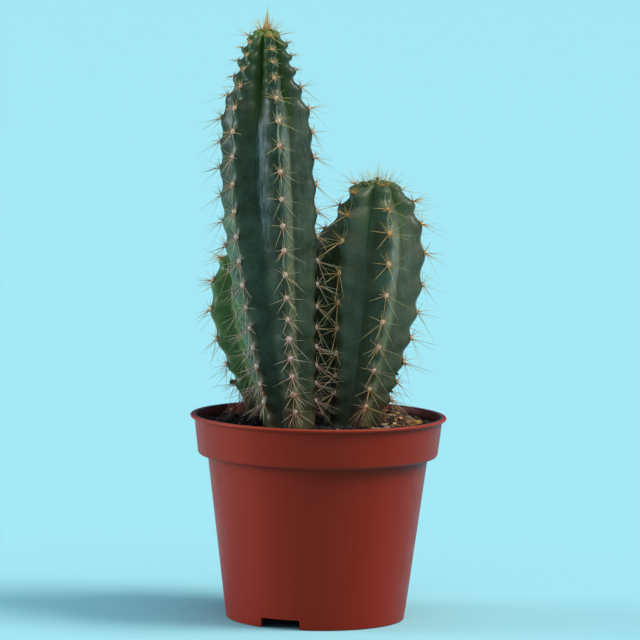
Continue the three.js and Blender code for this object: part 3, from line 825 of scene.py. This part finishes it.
def skin_point(stem, level, turn):
    """The skin at an areole level up the ribs and a turn in ribs; also how near the crest it is."""
    height = along(stem["areoles"], level)
    nearest = math.floor(turn + 0.5)
    off = 2 * abs(turn - nearest)
    rib = nearest % RIBS
    beside = (nearest + (1 if turn > nearest else -1)) % RIBS
    crest = crest_radius(stem, rib, height)
    crest += (crest_radius(stem, beside, height) - crest) * 0.5 * off ** 3
    young = ease(grown(stem, height), stem["young"] - 0.06, stem["young"] + 0.08)
    start = 0.35 + 0.65 * ease(height, SOIL_TOP - 6, SOIL_TOP + 10)
    furrow = (stem["furrow"] + (stem["tip_furrow"] - stem["furrow"]) * young) * start
    shoulder = math.degrees(math.asin(min(SHOULDER, 0.3 * crest) / crest)) / 30
    drop = 0.55 * min(1, crest / 8)
    wave = math.cos(2 * math.pi * (level - stem["phases"][rib] + 0.13))
    swell = 0.5 * stem["scallop"] * (1 + 0.9 * young) * min(1, crest / 10) * start
    bulge = swell * wave * (1 - off) ** (1.5 - 0.6 * young)
    if off < shoulder:
        radius = crest - drop * (off / shoulder) ** 2
    else:
        t = (off - shoulder) / (1 - shoulder)
        rounded = 0.5 * math.sin(t * math.pi / 2) + 0.5 * t ** 1.2
        depth = t ** 1.5 * young + rounded * (1 - young)
        radius = (crest - drop) + (crest * (1 - furrow) - crest + drop) * depth
    angle = math.radians(stem["first_rib"] + RIB_STEP * turn)
    x, y = axis_at(stem, height)
    radius += bulge
    place = Vector((x + radius * math.sin(angle), y - radius * math.cos(angle), height))
    return place, 1 - off


def swath(value, start, full, fade, end):
    """1 where a value is between full and fade, and easing off to 0 at start and at end."""
    return ease(value, start, full) * (1 - ease(value, fade, end))


def skin_marks(stem, turn, age):
    """How much painted light the skin has: paler flanks facing right, where the light falls, and on
    the tall stem a painted sheen on its left flank and a bluish painted highlight by its front rib."""
    side = 2 * (turn - math.floor(turn + 0.5))
    heading = stem["first_rib"] + RIB_STEP * turn
    rubbed = sheen = scuffed = 0
    if stem is not LEFT:
        # The shaded flank of ribs facing right gets a third as much painted light.
        shaded = 0.32 * swath(-side, 0.05, 0.3, 0.8, 1) * ease(heading, 24, 34)
        rubbed = max(swath(side, 0.03, 0.2, 0.5, 0.85), shaded) * ease(age, 0.08, 0.22)
        rubbed *= ease(math.cos(math.radians(heading - 60)), 0.3, 0.75)
    if stem is TALL:
        sheen = swath(heading, -102, -96, -54, -48) * ease(age, 0.34, 0.52)
        scuffed = swath(heading, -17, -11, -6, 6) * swath(age, 0.16, 0.26, 0.46, 0.6)
    return rubbed, sheen, scuffed


def make_stem(stem):
    """A grid wrapped round the stem, one row of it to a few millimetres, open at both ends."""
    levels = stem["count"] - 1 + TIP_LEVEL - FOOT_LEVEL
    body = start_shape(
        bpy.ops.mesh.primitive_grid_add,
        x_subdivisions=RIBS * RIB_COLUMNS, y_subdivisions=int(levels * AREOLE_ROWS), size=2,
    )
    body.name = stem["name"] + "_skin"
    marks = []
    for vertex in body.data.vertices:
        turn = (vertex.co.x + 1) / 2 * RIBS
        place, crest = skin_point(stem, FOOT_LEVEL + levels * (vertex.co.y + 1) / 2, turn)
        age = 1 - grown(stem, place.z)
        marks.append((crest, age, *skin_marks(stem, turn, age)))
        uneven = 0.22 * noise.noise(place / 7) + 0.1 * noise.noise(place / 2.2)
        outward = Vector((place.x, place.y, 0)) - Vector((*axis_at(stem, place.z), 0))
        vertex.co = (place + outward.normalized() * uneven) * MM
    for name, values in zip(SKIN_MARKS, np.array(marks).T.tolist()):
        body.data.attributes.new(name, "FLOAT", "POINT").data.foreach_set("value", values)
    edit_all()
    bpy.ops.mesh.remove_doubles(threshold=MERGE)
    bpy.ops.object.mode_set(mode="OBJECT")
    return body


def close_stem(body, stem):
    """Draws the open tip together into a shallow dimple, and caps the foot."""
    foot = min(vertex.co.z for vertex in body.data.vertices)
    tip = along(stem["areoles"], stem["count"] - 1 + TIP_LEVEL) * MM
    centre = Vector((*axis_at(stem, stem["tip"]), stem["tip"])) * MM
    edit_where(body, "vertices", lambda vertex: abs(vertex.co.z - tip) < 0.5 * MERGE)
    for lift, grow in ((0.3, 0.72), (0.4, 0.5), (0.0, 0.4)):
        extrude((0, 0, lift * MM))
        bpy.ops.transform.resize(value=(grow, grow, 1), center_override=centre)
    bpy.ops.mesh.merge(type="CENTER")
    edit_where(body, "vertices", lambda vertex: abs(vertex.co.z - foot) < 0.5 * MERGE)
    extrude((0, 0, FOOT_END * MM - foot))
    bpy.ops.mesh.edge_face_add()
    point_outwards()
    bpy.ops.object.shade_smooth()


def skin_material(stem):
    # Waxy cactus skin: dark green under a greyish bloom that streaks down the flanks, a thin pale
    # seam along the rib crests, yellow-green where it is young, and corky brown at the foot.
    # Painted light greys the flanks facing the light, with a painted sheen and a bluish painted
    # highlight on the tall stem; painted shade darkens the young furrows. It is glossy between
    # streaks.
    material, tree = blank_material(stem["skin"])
    dark, middle, bloom, fresh, tip = stem["greens"]
    place = add_node(tree, "ShaderNodeTexCoord").outputs["Object"]
    crest, age, rubbed, sheen, scuffed = (
        add_node(tree, "ShaderNodeAttribute", attribute_name=mark).outputs["Fac"]
        for mark in SKIN_MARKS
    )
    # Grain 1 mm wide, hairlines 0.4 mm and bands 7 mm, all drawn out lengthwise; then mottling
    # 11 mm across, specks of 0.5 mm, which is as fine as shows, and a 4 mm wobble of the seam.
    lengthwise = add_node(tree, "ShaderNodeMapping", Scale=(1, 1, 0.12), Vector=place)
    grain, hair, band, mottle, fine, wobble = (
        add_node(
            tree, "ShaderNodeTexNoise", Scale=scale, Detail=detail, Roughness=rough, Vector=spot,
        )
        for scale, detail, rough, spot in (
            (1000.0, 8.0, 0.72, lengthwise), (2600.0, 4.0, 0.7, lengthwise),
            (150.0, 3.0, 0.5, lengthwise), (95.0, 6.0, 0.6, place), (1900.0, 3.0, 0.5, place),
            (260.0, 2.0, 0.5, place),
        )
    )
    start = stem["plain_from"]
    # Plain with age; streakier under the painted highlight.
    plain = where(tree, (age, start, start + 0.2, 0.62, 0.8), (scuffed, 0, 1, 1, 0.2))
    streak, hair = (
        add_node(tree, "ShaderNodeMix", _0=plain, _2=pattern, _3=0.5) for pattern in (grain, hair)
    )
    wobble = where(tree, (wobble, 0.3, 0.7, -0.035, 0.035))
    seam = add_node(tree, "ShaderNodeMath", operation="ADD", _0=crest, _1=wobble)
    worn = ((streak, 0.5, 0.64), (hair, 0.38, 0.56, 0.2, 1.0))
    patched = (mottle, 0.36, 0.6, 0.4, 1)
    stops = ((0.32, dark), (0.68, middle))
    start = stem["bark_from"]
    colour = coated(
        tree, add_node(tree, "ShaderNodeValToRGB", stops=stops, Fac=mottle),
        # Bloom: worn into streaks down the flanks and along the crests, and in fine hairlines.
        (bloom, *worn, (age, 0.95, 0.75, 0.1, 1), (band, 0.48, 0.62, 0.03, 0.7)),
        (bloom, *worn, (crest, 0.5, 0.85, 0, 0.25)),
        (bloom, (hair, 0.62, 0.7), (band, 0.44, 0.52, 0, 0.35)),
        # Painted light: pale streaks and olive on lit flanks, a bluish highlight and a green sheen.
        ("#9fa592", rubbed, patched, (grain, 0.42, 0.6, 0.28, 0.6), (age, 0.72, 0.45, 0.2, 1)),
        ("#656a40", rubbed, patched, (age, 0.36, 0.6, 0, 0.62)),
        ("#808f95", scuffed, (grain, 0.46, 0.6, 0.04, 0.34)),
        ("#86a680", sheen, (age, 1.0, 0.75, 0.4, 1), (mottle, 0.38, 0.62, 0.12, 0.36)),
        # The seam along each crest, paler towards the tip.
        ("#b2b08e", (seam, 0.95, 0.985, 0, 0.75), (band, 0.4, 0.56, 0.1, 1),
         (age, 0.24, 0.4, 1, 0.4)),
        # Young growth: all round, then more in the furrows, and the tip itself.
        (fresh, (age, 0.2, 0.04, 0, 0.35)),
        (fresh, (age, 0.27, 0.16, 0, 0.8), (crest, 0.5, 0.1)),
        (tip, (age, 0.025, 0.0, 0, 0.9)),
        # Brown old crests, painted shade in the young furrows, cork at the foot, specks all over.
        ("#6b5236", (crest, 0.7, 0.92, 0, 0.6), (age, start, start + 0.3)),
        ("#161d10", (crest, 0.07, 0.0, 0, 0.75), (age, 0.36, 0.2)),
        ("#5c4f33", (age, 0.84, 1.0), (mottle, 0.42, 0.62, 0.1, 0.75)),
        ("#b9c0ae", (fine, 0.7, 0.78, 0, 0.55)),
    )
    waxy = where(
        tree, (streak, 0.4, 0.62, 0.35, 1), (mottle, 0.36, 0.6, 0.3, 0.8),
        (hair, 0.35, 0.65, 0.6, 1),
    )
    bump = add_node(tree, "ShaderNodeBump", Strength=0.3, Distance=0.3 * MM, Height=streak)
    bump = add_node(
        tree, "ShaderNodeBump", Strength=0.15, Distance=0.1 * MM, Height=fine, Normal=bump,
    )
    shader = add_node(
        tree, "ShaderNodeBsdfPrincipled", Base_Color=colour, Specular_IOR_Level=waxy, Normal=bump,
        Roughness=where(tree, (hair, 0.3, 0.7, 0.26, 0.44)), IOR=1.45, Specular_Tint="#e4eef2",
        Subsurface_Weight=0.05, Subsurface_Radius=(0.001, 0.002, 0.0006),
    )
    add_node(tree, "ShaderNodeOutputMaterial", Surface=shader)
    return material


for stem in STEMS:
    body = make_stem(stem)
    close_stem(body, stem)
    body.data.materials.append(skin_material(stem))
    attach(body, "root")
    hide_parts(stem["name"])


# ---------------------------------------------------------------------------------------------
# The areoles and spines. A felted pad sits on every swelling of a rib, and seven to eleven long
# stiff spines grow from it, the lower ones longest, with a few tiny ones between them. Lengths
# are in millimetres here too.
# ---------------------------------------------------------------------------------------------
SPINE_WIDTH = 0.32
PROUD = 1.6  # how far the top spines may stand above the solids
LITTER_TOP = 91
LIP_TOP, LIP_INSIDE = 97, 54
TUFT_SPINES = 56
GOLDEN_ANGLE = 2.4
BOX_LOW, BOX_HIGH = (Vector(corner) / MM for corner in cad_bounds)


def spine_shape(bow):
    """A needle one unit long, of five sides, drawn to a point and a little bowed."""
    last, width = -0.06, 1.0
    shape = start_shape(
        bpy.ops.mesh.primitive_circle_add, vertices=5, radius=0.5, location=(0, 0, last),
    )
    bpy.ops.object.transform_apply(location=True, rotation=True, scale=True)
    edit_all()
    for height, taper in ((0.12, 0.86), (0.42, 0.66), (0.74, 0.4), (1.0, 0.12)):
        extrude((bow * (height ** 2 - max(0, last) ** 2), 0, height - last))
        grow = taper / width
        bpy.ops.transform.resize(
            value=(grow, grow, 1), center_override=(bow * height ** 2, 0, height),
        )
        last, width = height, taper
    bpy.ops.mesh.edge_face_add()
    bpy.ops.object.mode_set(mode="OBJECT")
    return take_apart(shape)


def pad_shape():
    """A felt pad one unit in half width: a rough low dome."""
    shape = start_shape(
        bpy.ops.mesh.primitive_ico_sphere_add, subdivisions=3, radius=1, location=(0, 0, 0),
    )
    for vertex in shape.data.vertices:
        rough = 1 + 0.35 * noise.noise(vertex.co * 2.3) + 0.25 * noise.noise(vertex.co * 7)
        vertex.co = Vector((vertex.co.x, vertex.co.y, vertex.co.z * 0.55)) * rough
    return take_apart(shape)


def areole_frame(stem, rib, level):
    """Where an areole sits, and its outward, upward and sideways directions."""
    below, centre, above = (skin_point(stem, level + step, rib)[0] for step in (-0.2, 0, 0.2))
    up = (above - below).normalized()
    angle = math.radians(stem["first_rib"] + RIB_STEP * rib)
    across = Vector((math.cos(angle), math.sin(angle), 0))
    return centre, across.cross(up).normalized(), up, across


def inside_any(spot, own):
    """Whether a point is in a stem other than its own, or near enough to touch it."""
    for stem in STEMS:
        if stem is own or not SOIL_TOP < spot.z < stem["tip"]:
            continue
        x, y = axis_at(stem, spot.z)
        angle = math.degrees(math.atan2(spot.x - x, y - spot.y))
        turn = ((angle - stem["first_rib"]) % 360) / RIB_STEP
        off = 2 * abs(turn - round(turn))
        crest = crest_radius(stem, round(turn) % RIBS, spot.z)
        if math.hypot(spot.x - x, spot.y - y) < crest * (1 - stem["furrow"] * off) + 1.2:
            return True
    return False


def fits(root, tip, stem):
    """Whether a spine stays in the solids' box, off the soil and the lip, and out of the stems."""
    room = (-0.5, -0.5, PROUD)
    if not all(BOX_LOW[i] + 0.5 < tip[i] < BOX_HIGH[i] + room[i] for i in range(3)):
        return False
    if tip.z < LITTER_TOP or (tip.z < LIP_TOP and math.hypot(tip.x, tip.y) > LIP_INSIDE):
        return False
    return not any(inside_any(root.lerp(tip, share), stem) for share in (0.3, 0.6, 0.85, 1))


def spine_place(root, direction, length, width, stem, rng, tint):
    """A spine's place, shortened until it clears its neighbours."""
    for _ in range(8):
        tip = root + direction * length
        if fits(root, tip, stem):
            break
        length *= 0.86
    else:
        return None
    side = direction.orthogonal().normalized()
    side.rotate(Matrix.Rotation(rng.uniform(0, 2 * math.pi), 3, direction))
    other = direction.cross(side)
    width *= SPINE_WIDTH
    return root, (side * width, other * width, direction * length), tint


def dress_stem(stem):
    """The pads and spines of a stem: (place, three axes, tint)."""
    rng = random.Random(stem["seed"])
    pads, spines = [], []
    for rib in range(RIBS):
        for step in range(stem["count"]):
            level = step + stem["phases"][rib]
            if level > stem["count"] - 1 + 0.2:
                continue
            centre, out, up, across = areole_frame(stem, rib, level)
            old = 1 - grown(stem, centre.z)
            size = 1.12 * min(1, 0.5 + 2.2 * old) * rng.uniform(0.85, 1.12)
            tint = min(1, max(0, stem["golden"] + 0.9 * old - 0.1 + rng.uniform(-0.15, 0.15)))
            pads.append((centre + out * 0.25, (across * size, up * size * 1.15, out * size), tint))
            for tilt, side, share, width in areole_spread(rng, old):
                length = stem["spine"] * share * (0.82 + 0.18 * ease(old, 0, 0.12))
                if stem["broken"][0] < centre.z < stem["broken"][1]:
                    length *= 0.45
                lean = across * math.cos(side) + up * math.sin(side)
                direction = (out * math.cos(tilt) + lean * math.sin(tilt)).normalized()
                root = centre + lean * size * 0.5 + out * 0.45
                spines.append(spine_place(root, direction, length, width, stem, rng, tint))
    spines += tip_tuft(stem, rng)
    return pads, [place for place in spines if place]


def areole_spread(rng, old):
    """One areole's spines: tilt from outwards, direction round it, length and width share. They
    are radial ones, one to three central ones, tiny ones, and more near the foot."""
    spread = []
    count = rng.choice((6, 7, 7, 8))
    twist = rng.uniform(0, 360 / count)
    for i in range(count):
        side = math.radians(twist + 360 / count * i + rng.uniform(-16, 16))
        down = max(0, -math.sin(side))
        share = rng.uniform(0.72, 1.15) * (1 + 0.75 * down - 0.46 * max(0, math.sin(side)))
        spread.append((math.radians(rng.uniform(46, 80)), side, share, rng.uniform(0.75, 1)))
    for _ in range(rng.choice((1, 2, 2, 3))):
        side = math.radians(rng.uniform(205, 335))
        tilt = math.radians(rng.uniform(18, 58))
        longest = 1.3 + 0.45 * ease(old, 0.3, 0.7)
        spread.append((tilt, side, rng.uniform(0.95, longest), rng.uniform(0.9, 1.15)))
    for _ in range(7):
        side = math.radians(rng.uniform(0, 360))
        tilt = math.radians(rng.uniform(20, 88))
        spread.append((tilt, side, rng.uniform(0.18, 0.42), rng.uniform(0.55, 0.8)))
    for _ in range(int(7 * ease(old, 0.84, 0.92))):
        side = math.radians(rng.gauss(270, 26))
        tilt = math.radians(rng.uniform(35, 84))
        spread.append((tilt, side, rng.uniform(0.7, 1.5), rng.uniform(0.5, 0.75)))
    return spread


def tip_tuft(stem, rng):
    """The new spines on a stem's growing point: an upright bundle with looser ones round it."""
    centre = Vector((*axis_at(stem, stem["tip"]), stem["tip"] - 0.4))
    bundle, reach, longest = stem["tuft"]
    tuft = []
    for i in range(TUFT_SPINES):
        turn = GOLDEN_ANGLE * i
        outward = Vector((math.cos(turn), math.sin(turn), 0))
        if i < bundle:
            away = 1.9 * (i / bundle) ** 0.5
            spread = rng.gauss(-0.09, 0.02) * away
        else:
            away = reach * (i / TUFT_SPINES) ** 0.6
            spread = rng.uniform(0.1, 1.3) * (0.3 + away / reach)
        root = centre + outward * away - Vector((0, 0, 0.4 * away * away / reach))
        direction = (Vector((0.08, 0, 1)) + outward * spread).normalized()
        length = longest * (rng.uniform(0.55, 1) ** 0.7 if i < bundle else rng.uniform(0.55, 0.9))
        width = rng.uniform(0.7, 1)
        tint = 0.2 * rng.random()
        tuft.append(spine_place(root, direction, length, width, stem, rng, tint))
    return tuft


def crown_places(stem):
    """The soft tubercles of this year's growth, in two rings round the growing point."""
    away, size, _ = stem["crown"]
    top = Vector((*axis_at(stem, stem["tip"]), stem["tip"]))
    places = []
    for ring, share, lift, count in ((0, 1.0, -1.9, RIBS), (1, 0.5, -0.7, RIBS - 1)):
        for i in range(count):
            angle = math.radians(stem["first_rib"] + 360 / count * (i + 0.5 * ring))
            outward = Vector((math.sin(angle), -math.cos(angle), 0))
            across = outward.cross(Vector((0, 0, 1)))
            half = size * (1 - 0.3 * ring)
            centre = top + outward * away * share + Vector((0, 0, lift))
            axes = (across * 0.8 * half, outward * half, Vector((0, 0, half)))
            places.append((centre, axes, ring))
    return places


def spine_material():
    # Keratin-hard spine: red-brown at the root, golden or tan along it and pale at the point. Old
    # ones lower down have weathered to a greyish cream.
    material, tree = blank_material("golden_spine")
    tint, share = (
        add_node(tree, "ShaderNodeAttribute", attribute_name=mark).outputs["Fac"]
        for mark in ("tint", "share")
    )
    places = (0.0, 0.26, 0.6, 1.0)
    golden, tan, old = (
        add_node(tree, "ShaderNodeValToRGB", stops=list(zip(places, tones)), Fac=share)
        for tones in (
            ("#cc6236", "#d89a4c", "#e2c068", "#ccb46a"),
            ("#bf5e42", "#c89258", "#c8b46e", "#b0a06c"),
            ("#ac5850", "#bd8a76", "#c9b292", "#baa884"),
        )
    )
    shader = add_node(
        tree, "ShaderNodeBsdfPrincipled", Roughness=0.42,
        Base_Color=coated(tree, golden, (tan, (tint, 0.1, 0.5)), (old, (tint, 0.5, 1.0))),
        Subsurface_Weight=0.15, Subsurface_Radius=(0.0006, 0.0004, 0.0002),
    )
    add_node(tree, "ShaderNodeOutputMaterial", Surface=shader)
    return material


def felt_material():
    # Areole felt: a dense cushion of short wool, orange-buff when new and pinkish buff when older.
    # Its hairs are drawn 0.4 mm apart, which is coarser than real.
    material, tree = blank_material("areole_felt")
    place = add_node(tree, "ShaderNodeTexCoord").outputs["Object"]
    tint = add_node(tree, "ShaderNodeAttribute", attribute_name="tint").outputs["Fac"]
    wool = add_node(tree, "ShaderNodeTexNoise", Scale=2600.0, Detail=4.0, Vector=place)
    stops = ((0.0, "#f0b45e"), (0.3, "#f4c79c"), (1.0, "#e8cabd"))
    tone = add_node(tree, "ShaderNodeValToRGB", stops=stops, Fac=tint)
    shader = add_node(
        tree, "ShaderNodeBsdfPrincipled", Roughness=0.95, Sheen_Weight=0.3,
        Base_Color=flecked(tree, tone, wool, "#a8887a", 0.6, 0.75),
        Normal=add_node(tree, "ShaderNodeBump", Strength=0.8, Distance=0.3 * MM, Height=wool),
    )
    add_node(tree, "ShaderNodeOutputMaterial", Surface=shader)
    return material


def in_metres(places):
    """The same places, from millimetres to metres."""
    return [(origin * MM, [axis * MM for axis in axes], tint) for origin, axes, tint in places]


def tubercle_material(name, colour):
    # Tender new growth: smooth, moist and brighter green than the skin below it, and mottled
    # about every millimetre.
    material, tree = blank_material(name)
    place = add_node(tree, "ShaderNodeTexCoord").outputs["Object"]
    mottle = add_node(tree, "ShaderNodeTexNoise", Scale=900.0, Detail=3.0, Vector=place)
    shader = add_node(
        tree, "ShaderNodeBsdfPrincipled", Roughness=0.4,
        Base_Color=flecked(tree, colour, mottle, "#7d8a70", 0.6, 0.6),
        Subsurface_Weight=0.2, Subsurface_Radius=(0.001, 0.002, 0.0005),
    )
    add_node(tree, "ShaderNodeOutputMaterial", Surface=shader)
    return material


def bud_places(spots):
    """Dried flower buds at spots beside areoles: (stem, rib, level, half width, tint)."""
    places = []
    for stem, rib, level, size, tint in spots:
        centre, out, up, across = areole_frame(stem, rib, level)
        axes = (across * size, up * size, out * 1.5 * size)
        places.append((centre + out * 0.8 * size, axes, tint))
    return places


needles = [spine_shape(bow) for bow in (0.0, 0.06, 0.13)]
felt_pad = pad_shape()
spine_finish = spine_material()
felt_finish = felt_material()
for stem in STEMS:
    pads, spines = dress_stem(stem)
    tender = tubercle_material(stem["name"] + "_new_growth", stem["crown"][2])
    growth = [("areoles", felt_pad, pads, felt_finish)]
    growth.append(("tubercles", felt_pad, crown_places(stem), tender))
    for i, needle in enumerate(needles):
        growth.append((f"spines_{i + 1}", needle, spines[i::len(needles)], spine_finish))
    for kind, shape, places, finish in growth:
        piece = planted(f"{stem['name']}_{kind}", shape, in_metres(places))
        piece.data.materials.append(finish)
        piece.data.shade_smooth()
        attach(piece, "root")

buds = (
    (TALL, 2, 0.95, 1.25, 0.1), (RIGHT, 3, 2.2, 0.6, 0.5), (RIGHT, 3, 1.75, 0.6, 0.95),
    (RIGHT, 3, 0.8, 0.6, 1.0), (LEFT, 0, 0.3, 1.3, 0.8), (TALL, 1, 1.0, 1.0, 0.3),
)
dried = planted("dried_buds", crumb_shape(7), in_metres(bud_places(buds)))
dried.data.materials.append(loose_material(
    "shrivelled_bud",
    [(0.0, "#d99a7e"), (0.4, "#b5604f"), (0.6, "#8a3f34"), (1.0, "#523a30")], 1200.0, 0.8,
))
dried.data.shade_smooth()
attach(dried, "root")


# ---------------------------------------------------------------------------------------------
# The studio: a pale blue paper floor, which also fills the background, three broad soft lights
# and a faint sky, and the camera, far off with a long lens.
# ---------------------------------------------------------------------------------------------
FLOOR_REACH = 400  # so far that the floor's edge lies on the horizon
VIEW_END = 500
CAMERA_DISTANCE = 2.026
CAMERA_HEIGHT = 0.3345
CAMERA_PITCH = 0.0957
CAMERA_ROLL = 0.0168
LENS = 245.0


def make_floor():
    """A round sheet of paper, drawn out to the horizon."""
    sheet = start_shape(
        bpy.ops.mesh.primitive_circle_add,
        vertices=96, radius=1, fill_type="NGON", location=(0, 0, 0),
    )
    sheet.name = "paper_floor"
    edit_all()
    bpy.ops.transform.resize(value=(FLOOR_REACH, FLOOR_REACH, 1), center_override=(0, 0, 0))
    bpy.ops.object.mode_set(mode="OBJECT")
    return sheet


def paper_material():
    # Matt coloured paper: one even pale blue, with next to no shine.
    material, tree = blank_material("pale_paper")
    shader = add_node(
        tree, "ShaderNodeBsdfPrincipled",
        Base_Color="#a5dde4", Roughness=0.9, Specular_IOR_Level=0.1,
    )
    add_node(tree, "ShaderNodeOutputMaterial", Surface=shader)
    return material


sheet = make_floor()
sheet.data.materials.append(paper_material())

# Each light has its heading, its strength, its spread in degrees and its colour.
lights = (
    ("overhead", (-0.2, 0.3, -1), 0.98, 64, (0.93, 0.99, 1.0)),
    ("key_right", (-0.88, 0.16, -0.92), 2.4, 28, (1.0, 0.95, 0.89)),
    ("fill_left", (1, 0.04, -0.16), 2.5, 30, (0.86, 0.95, 1.0)),
)
for name, heading, strength, spread, colour in lights:
    bpy.ops.object.light_add(type="SUN", location=(0, 0, 3))
    sun = bpy.context.object
    sun.name = name
    sun.data.energy = strength
    sun.data.color = colour
    sun.data.angle = math.radians(spread)
    sun.rotation_euler = Vector(heading).to_track_quat("-Z", "Y").to_euler()
world = bpy.context.scene.world or bpy.data.worlds.new("studio")
bpy.context.scene.world = world
world.use_nodes = True
sky = world.node_tree.nodes["Background"]
sky.inputs["Color"].default_value = linear("#88d6ff")
sky.inputs["Strength"].default_value = 0.3
bpy.context.scene.view_settings.view_transform = "Standard"

bpy.ops.object.camera_add(location=(0, -CAMERA_DISTANCE, CAMERA_HEIGHT))
camera = bpy.context.object
camera.data.lens = LENS
camera.data.sensor_width = 36
camera.data.clip_end = VIEW_END
upright = Matrix.Rotation(math.pi / 2 - CAMERA_PITCH, 4, "X")
camera.rotation_euler = (upright @ Matrix.Rotation(CAMERA_ROLL, 4, "Z")).to_euler()
bpy.context.scene.camera = camera
